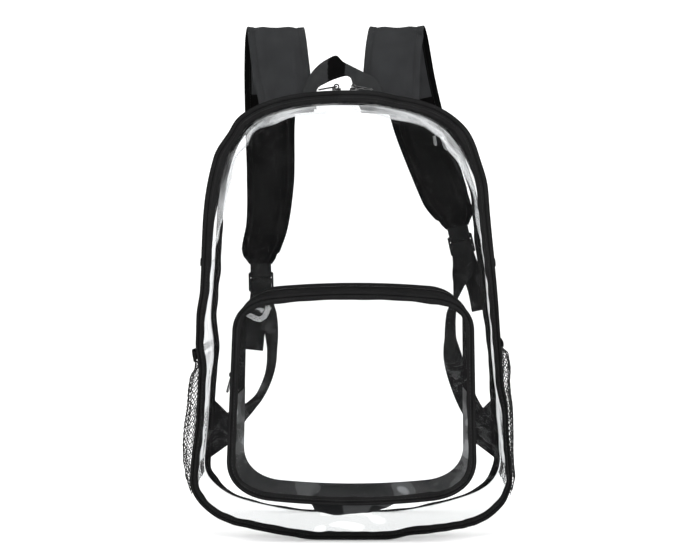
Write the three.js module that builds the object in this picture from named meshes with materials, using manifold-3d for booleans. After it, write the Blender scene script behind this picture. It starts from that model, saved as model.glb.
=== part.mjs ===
// Clear PVC backpack with black trim, standing on its base. Millimetres, +Z up.
// The front faces -Y and +X is right seen from the front. The origin is the middle of the base.
import * as THREE from 'three';
import { mergeVertices } from 'three/addons/utils/BufferGeometryUtils.js';
import Module from 'manifold-3d';

// Body: the outline runs from the middle of the base to the crown, and is mirrored
const body = {
  height: 430,
  baseFlat: 28,
  corner: { x: 153, z: 60 },
  cornerPull: { lowX: 92, highX: 155, highZ: 22 },
  shoulder: { x: 137, z: 317 },
  archPull: { lowX: 134, lowZ: 393, highX: 112 },
  outlineSteps: [2, 8, 14, 11],
  front: -75,
  back: 75,
  frontBow: 10,
  frontPuff: 8,
  backPuff: 2,
  sideDip: 4,
  wall: 1
};
const gap = 0.3;
const binding = { wideAtArch: 11, wideAtBase: 8, archFrom: 330, baseTo: 180, wideAtBack: 6.5, thick: 3.2 };

// How far the two seams stand out from the even outline, by height.
// The soft bag stands askew, its right shoulder hangs and its right corner is fuller
const seamLean = {
  front: {
    right: [
      { z: 0, out: 0 }, { z: 5, out: -1.4 }, { z: 24, out: 4.2 }, { z: 69, out: 4.8 },
      { z: 126, out: 3 }, { z: 150, out: 0.4 }, { z: 214, out: -0.3 }, { z: 337, out: -3.8 },
      { z: 368, out: -6.1 }, { z: 402, out: -4.2 }, { z: 427, out: -2.7 }, { z: 430, out: 0 }
    ],
    left: [
      { z: 0, out: 0 }, { z: 2, out: -0.8 }, { z: 69, out: 1 }, { z: 115, out: -1.4 },
      { z: 160, out: -1.2 }, { z: 190, out: 3.3 }, { z: 215, out: 4 }, { z: 240, out: 2 },
      { z: 306, out: 3 }, { z: 367, out: 0 }, { z: 391, out: -2.8 }, { z: 406, out: 0 },
      { z: 430, out: 0 }
    ]
  },
  back: {
    right: [
      { z: 0, out: 0 }, { z: 5, out: -0.8 }, { z: 35, out: 4.6 }, { z: 60, out: 3 },
      { z: 160, out: 3 }, { z: 247, out: -0.9 }, { z: 287, out: -4 }, { z: 320, out: -4.6 },
      { z: 368, out: -10.3 }, { z: 394, out: -10.8 }, { z: 410, out: -8 }, { z: 421, out: -5 },
      { z: 430, out: 0 }
    ],
    left: [
      { z: 0, out: 0 }, { z: 5, out: -0.5 }, { z: 22, out: 1.9 }, { z: 35, out: 1.4 },
      { z: 60, out: -2 }, { z: 90, out: -3 }, { z: 150, out: -3 }, { z: 171, out: -4.2 },
      { z: 209, out: 0.8 }, { z: 258, out: -0.6 }, { z: 310, out: 0 }, { z: 370, out: -2 },
      { z: 420, out: -1.2 }, { z: 430, out: 0 }
    ]
  }
};

// Half thickness across a binding, from its outer edge inwards
const bindingProfile = [
  { share: 0, half: 0.6 },
  { share: 0.5, half: 1 },
  { share: 1, half: 0.75 }
];

// Rings of the sheets, as shares of the way from the middle to the rim
const frontRings = [0.34, 0.6, 0.8, 0.92, 1];
const backRings = [0.5, 1];
const pocketRings = [0.4, 0.75, 1];

// Shallow dents of the soft front sheet
const frontDents = [
  { x: -86, z: 366, spread: 36, depth: 5 },
  { x: 108, z: 318, spread: 30, depth: 4 },
  { x: 64, z: 282, spread: 42, depth: 3 },
  { x: -122, z: 214, spread: 26, depth: 3 }
];
const dentFade = 0.5;

// Main zip: depths are measured back from the front seam
const zip = {
  endHeight: 270, endTab: 8, tabLift: 0.4, coilFrom: 24.5, coilWide: 4.6, coilRise: 1.4, coilSink: 1,
  rearEdge: 53, tapeWall: 1.2
};

// Roof between the front seam and the back seam, as a share of the deepest sag
const roofSag = { deepest: 18, leanRight: 0.12 };
const roofProfile = [
  { depth: 0, share: 0 },
  { depth: 30, share: 0 },
  { depth: 54, share: 0.62 },
  { depth: 82, share: 1 },
  { depth: 118, share: 0.8 },
  { depth: 138, share: 0.5 },
  { depth: 150, share: 0 }
];

// The same sag along the zip, from its right-hand end to its left-hand end
const roofSpan = [
  { along: 0, share: 0 },
  { along: 0.1, share: 0.3 },
  { along: 0.28, share: 0.85 },
  { along: 0.5, share: 1 },
  { along: 0.7, share: 1 },
  { along: 0.88, share: 0.85 },
  { along: 0.96, share: 0.45 },
  { along: 1, share: 0 }
];

// Front pocket: the face hangs lower and stands wider than the outline sewn to the front sheet
const pocketFaceOutline = {
  centre: 1, lean: 2.5, bottom: 40, top: 241, halfBottom: 117, halfTop: 113,
  cornerBottom: 42, cornerTop: 38, sag: 4, crown: 4
};
const pocketBaseOutline = {
  centre: 3.3, lean: 1, bottom: 54, top: 247, halfBottom: 106, halfTop: 104,
  cornerBottom: 36, cornerTop: 34, sag: 3, crown: 3
};
const pocket = {
  faceDepth: -126, facePuff: 7, bindingWide: 8, bindingThick: 3.2, wall: 1.2, standOff: 0.4,
  zipEnd: 138, zipRearEdge: 0.44, zipFrontEdge: 0.56, coilRise: 1.2, coilSink: 0.8, sliderHeight: 156,
  pullTilt: -16
};
const pocketCorner = { pull: 0.45, sagPull: 1.6, crownPull: 1.4 };
const pocketSteps = [3, 6, 5, 6, 3];

// Net side pockets: how far the net stands off the side, from its foot to its mouth
const netPocket = { foot: 46, mouth: 172, rimTop: 182, wall: 1, rimThick: 2, clear: 0.4, fullness: 0.6 };

// How far a net stands off the side of the bag: share of its height, then distance
const netBulge = {
  right: [
    { rise: 0, out: 0 }, { rise: 0.14, out: 4 }, { rise: 0.36, out: 7 }, { rise: 0.6, out: 8 },
    { rise: 0.75, out: 10 }, { rise: 0.85, out: 9.5 }, { rise: 0.92, out: 8 }, { rise: 1, out: 5.5 }
  ],
  left: [
    { rise: 0, out: 0 }, { rise: 0.14, out: 8 }, { rise: 0.36, out: 14.5 }, { rise: 0.6, out: 15 },
    { rise: 0.8, out: 12.5 }, { rise: 0.9, out: 9 }, { rise: 1, out: 5.5 }
  ]
};

// Zip slider and its pull tab
const slider = {
  long: 8.5, wide: 8, tailShare: 0.7, thick: 2, lift: 0.4,
  bailWide: 2.4, bailOuter: 2.9, bailInner: 1.6, bailRise: 1.6, bailSink: 0.5
};
const pull = { long: 18, wide: 5.6, thick: 1.4, barHalf: 0.8, eyeLong: 5, eyeHalf: 1.7, tipRadius: 2.4 };
const pivotRise = slider.lift + slider.thick + slider.bailRise;
const mainSliders = { leftX: -13, rightX: 4, tilt: 10 };

// Shoulder pads: one row for each station, from the seam over the fold to the lower end;
// steps is how finely the stretch to the next station is cut
const padLeft = [
  { x: -65, y: 81.2, z: 413, wide: 56, thick: 4, steps: 1 },
  { x: -66.8, y: 82.4, z: 432, wide: 57, thick: 6, steps: 1 },
  { x: -71.5, y: 84.6, z: 460, wide: 60, thick: 8, steps: 2 },
  { x: -75, y: 89, z: 488, wide: 60, thick: 8, steps: 4 },
  { x: -77.5, y: 98, z: 500, wide: 60, thick: 8, steps: 4 },
  { x: -80, y: 107, z: 489, wide: 60, thick: 8, steps: 2 },
  { x: -82.5, y: 111, z: 455, wide: 57, thick: 10, steps: 2 },
  { x: -84, y: 111, z: 403, wide: 52, thick: 11, steps: 2 },
  { x: -83.5, y: 108, z: 345, wide: 50, thick: 11, steps: 2 },
  { x: -87, y: 102, z: 298, wide: 44, thick: 10, steps: 2 }
];
const padRight = [
  { x: 41, y: 81.2, z: 413, wide: 59, thick: 4, steps: 1 },
  { x: 42.2, y: 82.4, z: 432, wide: 60, thick: 6, steps: 1 },
  { x: 43.5, y: 84.6, z: 460, wide: 59, thick: 8, steps: 2 },
  { x: 46, y: 89, z: 488, wide: 58, thick: 8, steps: 4 },
  { x: 49, y: 98, z: 500, wide: 58, thick: 8, steps: 4 },
  { x: 53, y: 107, z: 489, wide: 58, thick: 8, steps: 2 },
  { x: 62, y: 111, z: 446, wide: 56, thick: 10, steps: 2 },
  { x: 73, y: 110, z: 403, wide: 55, thick: 11, steps: 2 },
  { x: 88, y: 107, z: 361, wide: 53, thick: 11, steps: 2 },
  { x: 100, y: 102.5, z: 328, wide: 49, thick: 10, steps: 2 }
];

// Lower end of a pad, straight above its ladder lock
const padEndRows = [
  { above: 14, wide: 39.5, thick: 8.4 },
  { above: 6, wide: 32, thick: 7.8 },
  { above: 0, wide: 24, thick: 7.4 }
];

// Cross-section of a pad: bound edges are thinner than the padded middle
const padSection = [
  { across: -1, half: 0.4 },
  { across: -0.76, half: 0.55 },
  { across: -0.52, half: 0.95 },
  { across: 0, half: 1 },
  { across: 0.52, half: 0.95 },
  { across: 0.76, half: 0.55 },
  { across: 1, half: 0.4 }
];
const flatSection = [
  { across: -1, half: 1 },
  { across: 1, half: 1 }
];

// Webbing, ladder locks and the routes of the webbing below them
const webbing = { wide: 21, thick: 1.6, clear: 0.6 };
const lock = {
  wide: 26, thick: 3, railWide: 2.1, barHalf: 1.6, topBar: -8.6, lowBar: 8.6, round: 2, padReach: 10
};
const lockLeft = { x: -93.2, y: 98.5, z: 238.8, lean: 1 };
const lockRight = { x: 116.6, y: 98.5, z: 277.9, lean: 13 };
const tailLeft = [
  { x: -94.5, y: 102, z: 220 },
  { x: -99, y: 101, z: 196 },
  { x: -102, y: 99.5, z: 167 }
];
const tailRight = [
  { x: 122.5, y: 102, z: 259 },
  { x: 133, y: 101.5, z: 235 },
  { x: 138.5, y: 100, z: 209 }
];

// Below the lock the webbing turns partly on edge: twist in degrees from flat to the back
const lowerLeft = [
  { x: -91, y: 95, z: 216, twist: 0 },
  { x: -84.5, y: 94.5, z: 200, twist: -42 },
  { x: -81.5, y: 92.5, z: 170, twist: -64 },
  { x: -84, y: 90.5, z: 144, twist: -68 },
  { x: -94, y: 88.5, z: 120.5, twist: -68 },
  { x: -103, y: 87.5, z: 110, twist: -60 },
  { x: -112, y: 86, z: 102, twist: -45 },
  { x: -121, y: 83, z: 95, twist: -16 },
  { x: -128, y: 81.2, z: 91, twist: 0 },
  { x: -135, y: 80.3, z: 88, twist: 0 },
  { x: -142, y: 80, z: 86.5, twist: 0 }
];
const lowerRight = [
  { x: 118, y: 95, z: 252, twist: 0 },
  { x: 114, y: 94.5, z: 237, twist: 60 },
  { x: 110.5, y: 94, z: 222, twist: 84 },
  { x: 106, y: 92.5, z: 206, twist: 68 },
  { x: 105, y: 91, z: 180, twist: 60 },
  { x: 107.5, y: 89, z: 160, twist: 25 },
  { x: 113.5, y: 86.5, z: 138, twist: 0 },
  { x: 121.5, y: 83.2, z: 117, twist: 0 },
  { x: 129, y: 81.2, z: 103.5, twist: 0 },
  { x: 137, y: 80.3, z: 95, twist: 0 },
  { x: 145, y: 80, z: 89.5, twist: 0 }
];
const webbingSteps = 3;
const turn = { steps: 6, power: 2 / 3 };

// Anchor tab: a trapezium whose long edge lies on the back seam
const anchorTab = {
  seamLow: 57, seamHigh: 118, seamInset: 1, tipX: 127, aside: 3, tipLow: 75, tipHigh: 101, thick: 1.6,
  behindSeam: 2
};

// Haul handle: upper and lower edge of the webbing, one row for each section
const handleThick = 1.7;
const handleSections = [
  { topX: -50.5, topY: 77.9, topZ: 421, lowX: -34.5, lowY: 77.9, lowZ: 418 },
  { topX: -48.5, topY: 77.9, topZ: 437, lowX: -35, lowY: 77.9, lowZ: 433 },
  { topX: -41, topY: 78.1, topZ: 454, lowX: -33, lowY: 77.9, lowZ: 440 },
  { topX: -33, topY: 80.5, topZ: 463.5, lowX: -25, lowY: 78.4, lowZ: 445 },
  { topX: -24, topY: 84, topZ: 470, lowX: -15, lowY: 80, lowZ: 449.5 },
  { topX: -14, topY: 86, topZ: 474, lowX: -3, lowY: 81.5, lowZ: 452.5 },
  { topX: -7.5, topY: 85, topZ: 468, lowX: 0.5, lowY: 81.5, lowZ: 450.5 },
  { topX: 1, topY: 82.5, topZ: 463.3, lowX: 2, lowY: 80, lowZ: 446.5 },
  { topX: 12, topY: 78.4, topZ: 457.5, lowX: 3, lowY: 78.2, lowZ: 441 },
  { topX: 26, topY: 77.9, topZ: 450, lowX: 5, lowY: 77.9, lowZ: 433 },
  { topX: 33, topY: 77.9, topZ: 437, lowX: 8, lowY: 77.9, lowZ: 424 },
  { topX: 35, topY: 77.9, topZ: 425, lowX: 12, lowY: 77.9, lowZ: 416 }
];

// Finishes
const clearPvc = new THREE.MeshStandardMaterial({
  color: 0xe6ecee, roughness: 0.12, metalness: 0, transparent: true, opacity: 0.25
});
const boundFabric = new THREE.MeshStandardMaterial({ color: 0x242426, roughness: 0.8, metalness: 0 });
const padFabric = new THREE.MeshStandardMaterial({ color: 0x333436, roughness: 0.9, metalness: 0 });
const blackWebbing = new THREE.MeshStandardMaterial({ color: 0x1e1e1f, roughness: 0.85, metalness: 0 });
const blackNet = new THREE.MeshStandardMaterial({ color: 0x1b1b1c, roughness: 0.9, metalness: 0 });
const blackNylon = new THREE.MeshStandardMaterial({ color: 0x171718, roughness: 0.45, metalness: 0 });
const blackMetal = new THREE.MeshStandardMaterial({ color: 0x1a1a1b, roughness: 0.35, metalness: 0.7 });

const wasm = await Module();
wasm.setup();
const backpack = new THREE.Group();
const rightwards = new THREE.Vector3(1, 0, 0);
const leftwards = new THREE.Vector3(-1, 0, 0);
const backwards = new THREE.Vector3(0, 1, 0);
const upwards = new THREE.Vector3(0, 0, 1);
const downwards = new THREE.Vector3(0, 0, -1);

function addPiece(name, geometry, material, parent = backpack) {
  const mesh = new THREE.Mesh(geometry, material);
  mesh.name = name;
  parent.add(mesh);
  return mesh;
}

// A closed outline in the X-Z plane, read by a fractional index that grows anticlockwise from the base
class Loop {
  constructor(points) {
    this.points = points;
    this.count = points.length;
    this.inward = points.map((point, index) => {
      const ahead = this.points[(index + 1) % this.count];
      const behind = this.points[(index - 1 + this.count) % this.count];
      return new THREE.Vector2(behind.y - ahead.y, ahead.x - behind.x).normalize();
    });
  }

  at(index, inset = 0) {
    const wrapped = ((index % this.count) + this.count) % this.count;
    const low = Math.floor(wrapped);
    const high = (low + 1) % this.count;
    const share = wrapped - low;
    const point = this.points[low].clone().lerp(this.points[high], share);
    const inward = this.inward[low].clone().lerp(this.inward[high], share).normalize();
    return point.addScaledVector(inward, inset);
  }

  // Index on the right-hand half at a height
  indexAt(height) {
    let index = 0;
    while (this.points[index + 1].y < height) index += 1;
    const low = this.points[index].y;
    const high = this.points[index + 1].y;
    return index + (height - low) / (high - low);
  }

  // Index moved along the loop by a distance
  moved(index, distance) {
    const probe = 0.1;
    const step = this.at(index + probe).distanceTo(this.at(index)) / probe;
    return index + distance / step;
  }
}

function mirroredLoop(halfPath, steps) {
  const half = [halfPath.curves[0].getPoint(0)];
  halfPath.curves.forEach((curve, number) => half.push(...curve.getPoints(steps[number]).slice(1)));
  const otherHalf = half.slice(1, -1).reverse().map((point) => new THREE.Vector2(-point.x, point.y));
  return new Loop([...half, ...otherHalf]);
}

// Geometry from vertices and triangles, turned so that its faces point out
function closedGeometry(vertices, triangles) {
  const volume = triangles.reduce((sum, [a, b, c]) => {
    return sum + vertices[a].dot(vertices[b].clone().cross(vertices[c]));
  }, 0);
  const facing = volume > 0 ? triangles : triangles.map(([a, b, c]) => [a, c, b]);
  const numbers = vertices.flatMap((vertex) => vertex.toArray());
  const geometry = new THREE.BufferGeometry();
  geometry.setAttribute('position', new THREE.Float32BufferAttribute(numbers, 3));
  geometry.setIndex(facing.flat());
  return geometry;
}

// Skin over sections, each with an outer and an inner row of points
function loft(sections, loop = false) {
  const rings = sections.map(({ outer, inner }) => [...outer, ...[...inner].reverse()]);
  const size = rings[0].length;
  const last = size - 1;
  const triangles = [];
  const quad = (a, b, c, d) => triangles.push([a, b, c], [a, c, d]);
  const spans = loop ? rings.length : rings.length - 1;
  for (let ring = 0; ring < spans; ring += 1) {
    const here = ring * size;
    const next = ((ring + 1) % rings.length) * size;
    for (let side = 0; side < size; side += 1) {
      const beside = (side + 1) % size;
      quad(here + side, here + beside, next + beside, next + side);
    }
  }
  if (!loop) {
    const end = (rings.length - 1) * size;
    for (let side = 0; side < size / 2 - 1; side += 1) {
      quad(side + 1, side, last - side, last - side - 1);
      quad(end + side, end + side + 1, end + last - side - 1, end + last - side);
    }
  }
  return closedGeometry(rings.flat(), triangles);
}

// Outline indices from one end of a strip to the other
function stationsBetween(from, to) {
  const stations = [from];
  for (let index = Math.floor(from) + 1; index < to; index += 1) stations.push(index);
  stations.push(to);
  return stations;
}

// Strip of a wall between two indices and two depths; lift stands it off the wall
function strip(wall, { from, to, near, far, rows, thick, lift = () => 0 }) {
  const sections = stationsBetween(from, to).map((index) => {
    const along = (index - from) / (to - from);
    const outer = [];
    const inner = [];
    for (let row = 0; row <= rows; row += 1) {
      const share = row / rows;
      const depth = THREE.MathUtils.lerp(near(index), far(index), share);
      const off = lift(along, share);
      outer.push(wall(index, depth, off));
      inner.push(wall(index, depth, off - thick));
    }
    return { outer, inner };
  });
  return loft(sections);
}

// Flat binding round a loop, thickest along its middle
function bindingRing(loop, wideAt, depthAt, thick) {
  const sections = loop.points.map((point, index) => {
    const side = (sign) => bindingProfile.map((row) => {
      const spot = loop.at(index, row.share * wideAt(point.y));
      return new THREE.Vector3(spot.x, depthAt(point.x, point.y) + sign * row.half * thick / 2, spot.y);
    });
    return { outer: side(-1), inner: side(1) };
  });
  return loft(sections, true);
}

// Sheet inside a loop, built of rings round a hub
function domedSheet(rim, hub, shares, frontAt, thick) {
  const layer = (offset) => {
    const points = [new THREE.Vector3(hub.x, frontAt(hub.x, hub.y, 0) + offset, hub.y)];
    shares.forEach((share) => rim.forEach((edge) => {
      const spot = hub.clone().lerp(edge, share);
      points.push(new THREE.Vector3(spot.x, frontAt(spot.x, spot.y, share) + offset, spot.y));
    }));
    return points;
  };
  const front = layer(0);
  const vertices = [...front, ...layer(thick)];
  const behind = front.length;
  const count = rim.length;
  const triangles = [];
  const bothFaces = (a, b, c) => triangles.push([a, b, c], [a + behind, c + behind, b + behind]);
  for (let side = 0; side < count; side += 1) {
    const beside = (side + 1) % count;
    bothFaces(0, 1 + side, 1 + beside);
    for (let ring = 1; ring < shares.length; ring += 1) {
      const inside = 1 + (ring - 1) * count;
      const outside = 1 + ring * count;
      bothFaces(inside + side, outside + side, outside + beside);
      bothFaces(inside + side, outside + beside, inside + beside);
    }
    const edge = 1 + (shares.length - 1) * count;
    triangles.push([edge + side, edge + side + behind, edge + beside + behind]);
    triangles.push([edge + side, edge + beside + behind, edge + beside]);
  }
  return closedGeometry(vertices, triangles);
}

// Band swept along stations: its width keeps to a given direction, or lies flat to the back where facing
// is 1, and twist turns it about its own route
function sweptBand(stations, section, acrossHint) {
  const route = new THREE.CatmullRomCurve3(stations.map((row) => new THREE.Vector3(row.x, row.y, row.z)));
  const between = (column, t) => {
    const place = t * (stations.length - 1);
    const low = Math.min(Math.floor(place), stations.length - 2);
    return THREE.MathUtils.lerp(stations[low][column], stations[low + 1][column], place - low);
  };
  const last = stations.length - 1;
  const places = stations.slice(0, last).flatMap((row, number) => {
    return Array.from({ length: row.steps }, (unused, step) => number + step / row.steps);
  });
  const sections = [...places, last].map((place) => {
    const t = place / last;
    const centre = route.getPoint(t);
    const along = route.getTangent(t);
    const level = acrossHint.clone().addScaledVector(along, -acrossHint.dot(along)).normalize();
    const flat = along.clone().cross(backwards).normalize();
    const facing = between('facing', t);
    const across = facing > 0 ? level.lerp(flat, facing).normalize() : level;
    across.applyAxisAngle(along, THREE.MathUtils.degToRad(between('twist', t)));
    const out = across.clone().cross(along);
    const side = (sign) => section.map((row) => centre.clone()
      .addScaledVector(across, row.across * between('wide', t) / 2)
      .addScaledVector(out, sign * row.half * between('thick', t) / 2));
    return { outer: side(1), inner: side(-1) };
  });
  return loft(sections);
}

function smoothTable(rows, key, column, value) {
  let row = 0;
  while (row < rows.length - 2 && rows[row + 1][key] < value) row += 1;
  const share = (value - rows[row][key]) / (rows[row + 1][key] - rows[row][key]);
  const eased = THREE.MathUtils.smoothstep(share, 0, 1);
  return THREE.MathUtils.lerp(rows[row][column], rows[row + 1][column], eased);
}

function toManifold(geometry) {
  const bare = geometry.clone();
  bare.deleteAttribute('normal');
  bare.deleteAttribute('uv');
  const merged = mergeVertices(bare);
  const vertProperties = new Float32Array(merged.attributes.position.array);
  const triVerts = new Uint32Array(merged.index.array);
  return new wasm.Manifold(new wasm.Mesh({ numProp: 3, vertProperties, triVerts }));
}

function fused(first, second) {
  const joined = toManifold(first).add(toManifold(second)).getMesh();
  const geometry = new THREE.BufferGeometry();
  geometry.setAttribute('position', new THREE.BufferAttribute(joined.vertProperties, 3));
  geometry.setIndex(new THREE.BufferAttribute(joined.triVerts, 1));
  return geometry;
}

// Body outline and walls
const halfOutline = new THREE.Path();
halfOutline.moveTo(0, 0);
halfOutline.lineTo(body.baseFlat, 0);
halfOutline.bezierCurveTo(
  body.cornerPull.lowX, 0, body.cornerPull.highX, body.cornerPull.highZ, body.corner.x, body.corner.z
);
halfOutline.lineTo(body.shoulder.x, body.shoulder.z);
halfOutline.bezierCurveTo(
  body.archPull.lowX, body.archPull.lowZ, body.archPull.highX, body.height, 0, body.height
);
const outline = mirroredLoop(halfOutline, body.outlineSteps);


// The outline drawn out to one of the two seams
function leaningLoop(lean) {
  return new Loop(outline.points.map((point, index) => {
    const rows = index <= outline.count / 2 ? lean.right : lean.left;
    return outline.at(index, -smoothTable(rows, 'z', 'out', point.y));
  }));
}
const frontOutline = leaningLoop(seamLean.front);
const backOutline = leaningLoop(seamLean.back);

const cornerIndex = outline.indexAt(body.corner.z);
const zipEndIndex = outline.indexAt(zip.endHeight);
const tabEndIndex = outline.indexAt(zip.endHeight - zip.endTab);

function halfWidthAt(height) {
  const clamped = THREE.MathUtils.clamp(height, 1, body.height - 1);
  return outline.at(outline.indexAt(clamped)).x;
}

function frontSeam(x, z) {
  const middle = 1 - (x / body.corner.x) ** 2;
  return body.front - body.frontBow * Math.max(middle, 0) * (1 - z / body.height);
}

function frontSheet(x, z) {
  const side = 1 - (x / halfWidthAt(z)) ** 2;
  const upright = 1 - (2 * z / body.height - 1) ** 4;
  const dents = frontDents.reduce((sum, dent) => {
    const away = ((x - dent.x) ** 2 + (z - dent.z) ** 2) / dent.spread ** 2;
    return sum + dent.depth * Math.exp(-away);
  }, 0);
  const rim = THREE.MathUtils.smoothstep(side * upright, 0, dentFade);
  return frontSeam(x, z) - body.frontPuff * Math.max(side * upright, 0) + dents * rim;
}

function roofDrop(index, depth) {
  const along = (index - zipEndIndex) / (outline.count - 2 * zipEndIndex);
  if (along <= 0 || along >= 1) return 0;
  const lean = 1 + roofSag.leanRight * outline.at(index).x / body.shoulder.x;
  const share = smoothTable(roofProfile, 'depth', 'share', depth - body.front);
  return roofSag.deepest * lean * share * smoothTable(roofSpan, 'along', 'share', along);
}

// A spot of the even outline taken to its place between the two seams
function betweenSeams(spot, index, depth) {
  const through = THREE.MathUtils.clamp((depth - body.front) / (body.back - body.front), 0, 1);
  const seam = frontOutline.at(index).lerp(backOutline.at(index), through);
  const shifted = seam.sub(outline.at(index)).add(spot);
  return new THREE.Vector3(shifted.x, depth, shifted.y);
}

function sideDip(index, depth) {
  const mirrored = Math.min(index, outline.count - index);
  const up = (mirrored - cornerIndex) / (tabEndIndex - cornerIndex);
  if (up <= 0 || up >= 1) return 0;
  const through = THREE.MathUtils.clamp((depth - body.front) / (body.back - body.front), 0, 1);
  return body.sideDip * Math.sin(Math.PI * up) * Math.sin(Math.PI * through);
}

function bodyWall(index, depth, lift) {
  const spot = outline.at(index, roofDrop(index, depth) + sideDip(index, depth) - lift);
  return betweenSeams(spot, index, depth);
}

function plainWall(index, depth, lift) {
  return betweenSeams(outline.at(index, -lift), index, depth);
}

const seamClear = binding.thick / 2 + gap;
const behindFrontSeam = (offset) => (index) => {
  const spot = frontOutline.at(index);
  return frontSeam(spot.x, spot.y) + offset;
};
const atFrontSeam = behindFrontSeam(seamClear);
const atBackSeam = () => body.back - seamClear;

// Ends of a strip, drawn in by half the gap
function trimmed(from, to) {
  return { from: outline.moved(from, gap / 2), to: outline.moved(to, -gap / 2) };
}
const leftOf = (index) => outline.count - index;

function bindingWide(z) {
  const share = THREE.MathUtils.smoothstep(z, binding.baseTo, binding.archFrom);
  return THREE.MathUtils.lerp(binding.wideAtBase, binding.wideAtArch, share);
}

const frontRim = frontOutline.points.map((point, index) => {
  return frontOutline.at(index, bindingWide(point.y) + gap);
});
const sheetHub = new THREE.Vector2(0, body.height / 2);
addPiece('front_panel', domedSheet(frontRim, sheetHub, frontRings, frontSheet, body.wall), clearPvc);
addPiece('binding_front', bindingRing(frontOutline, bindingWide, frontSeam, binding.thick), boundFabric);

const backRim = backOutline.points.map((point, index) => backOutline.at(index, binding.wideAtBack + gap));
const backSheet = (x, z, share) => body.back - body.wall / 2 + body.backPuff * (1 - share ** 2);
addPiece('back_panel', domedSheet(backRim, sheetHub, backRings, backSheet, body.wall), clearPvc);
addPiece('binding_back', bindingRing(
  backOutline, () => binding.wideAtBack, () => body.back, binding.thick
), boundFabric);

const fullDepth = { near: atFrontSeam, far: atBackSeam, rows: 4, thick: body.wall };
addPiece('gusset_bottom', strip(bodyWall, {
  ...trimmed(-cornerIndex, cornerIndex), ...fullDepth, rows: 2
}), clearPvc);
addPiece('gusset_right', strip(bodyWall, {
  ...trimmed(cornerIndex, tabEndIndex), ...fullDepth
}), clearPvc);
addPiece('gusset_left', strip(bodyWall, {
  ...trimmed(leftOf(tabEndIndex), leftOf(cornerIndex)), ...fullDepth
}), clearPvc);
addPiece('gusset_top', strip(bodyWall, {
  ...trimmed(tabEndIndex, leftOf(tabEndIndex)),
  near: behindFrontSeam(zip.rearEdge + gap), far: atBackSeam, rows: 5, thick: body.wall
}), clearPvc);

// Main zip
const zipRange = trimmed(zipEndIndex, leftOf(zipEndIndex));
const coilTo = zip.coilFrom + zip.coilWide;
addPiece('zip_tape_front', strip(bodyWall, {
  ...zipRange, near: atFrontSeam, far: behindFrontSeam(zip.coilFrom - gap), rows: 1, thick: zip.tapeWall
}), boundFabric);
addPiece('zip_tape_rear', strip(bodyWall, {
  ...zipRange, near: behindFrontSeam(coilTo + gap), far: behindFrontSeam(zip.rearEdge),
  rows: 3, thick: zip.tapeWall
}), boundFabric);
addPiece('zip_coil', strip(bodyWall, {
  ...zipRange, near: behindFrontSeam(zip.coilFrom), far: behindFrontSeam(coilTo),
  rows: 2, thick: zip.tapeWall + zip.coilSink,
  lift: (along, share) => zip.coilRise * Math.sin(Math.PI * share)
}), blackNylon);
const endTab = {
  near: atFrontSeam, far: behindFrontSeam(zip.rearEdge), rows: 2, thick: zip.tapeWall, lift: () => zip.tabLift
};
addPiece('zip_end_right', strip(bodyWall, {
  ...trimmed(tabEndIndex, zipEndIndex), ...endTab
}), boundFabric);
addPiece('zip_end_left', strip(bodyWall, {
  ...trimmed(leftOf(zipEndIndex), leftOf(tabEndIndex)), ...endTab
}), boundFabric);

// Slider: rounded plate with a bail; X runs along the zip and Z out of it
function sliderGeometry() {
  const halfLong = slider.long / 2;
  const halfWide = slider.wide / 2;
  const plate = new THREE.Shape();
  plate.moveTo(-halfLong, -halfWide * slider.tailShare);
  plate.lineTo(0, -halfWide);
  plate.quadraticCurveTo(halfLong, -halfWide, halfLong, 0);
  plate.quadraticCurveTo(halfLong, halfWide, 0, halfWide);
  plate.lineTo(-halfLong, halfWide * slider.tailShare);
  plate.closePath();
  const plateSolid = new THREE.ExtrudeGeometry(plate, {
    depth: slider.thick, bevelEnabled: false, curveSegments: 4
  });
  plateSolid.translate(0, 0, slider.lift);
  const bailFoot = -slider.bailRise - slider.bailSink;
  const arch = new THREE.Shape();
  arch.moveTo(-slider.bailOuter, bailFoot);
  arch.lineTo(slider.bailOuter, bailFoot);
  arch.lineTo(slider.bailOuter, 0);
  arch.absarc(0, 0, slider.bailOuter, 0, Math.PI, false);
  arch.closePath();
  const eye = new THREE.Path();
  eye.absarc(0, 0, slider.bailInner, 0, 2 * Math.PI, true);
  arch.holes.push(eye);
  const bailSolid = new THREE.ExtrudeGeometry(arch, {
    depth: slider.bailWide, bevelEnabled: false, curveSegments: 6
  });
  bailSolid.rotateX(Math.PI / 2);
  bailSolid.translate(0, slider.bailWide / 2, pivotRise);
  return fused(plateSolid, bailSolid);
}

// Pull tab: its end bar lies in the bail, on the turning axis
function pullGeometry() {
  const half = pull.wide / 2;
  const start = -pull.barHalf;
  const tab = new THREE.Shape();
  tab.moveTo(start, -half);
  tab.lineTo(pull.long - pull.tipRadius, -half);
  tab.quadraticCurveTo(pull.long, -half, pull.long, 0);
  tab.quadraticCurveTo(pull.long, half, pull.long - pull.tipRadius, half);
  tab.lineTo(start, half);
  tab.closePath();
  const eye = new THREE.Path();
  eye.moveTo(pull.barHalf, -pull.eyeHalf);
  eye.lineTo(pull.barHalf, pull.eyeHalf);
  eye.lineTo(pull.eyeLong, pull.eyeHalf);
  eye.lineTo(pull.eyeLong, -pull.eyeHalf);
  eye.closePath();
  tab.holes.push(eye);
  const solid = new THREE.ExtrudeGeometry(tab, {
    depth: pull.thick, bevelEnabled: false, curveSegments: 4
  });
  solid.translate(0, 0, -pull.thick / 2);
  return solid;
}

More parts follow.
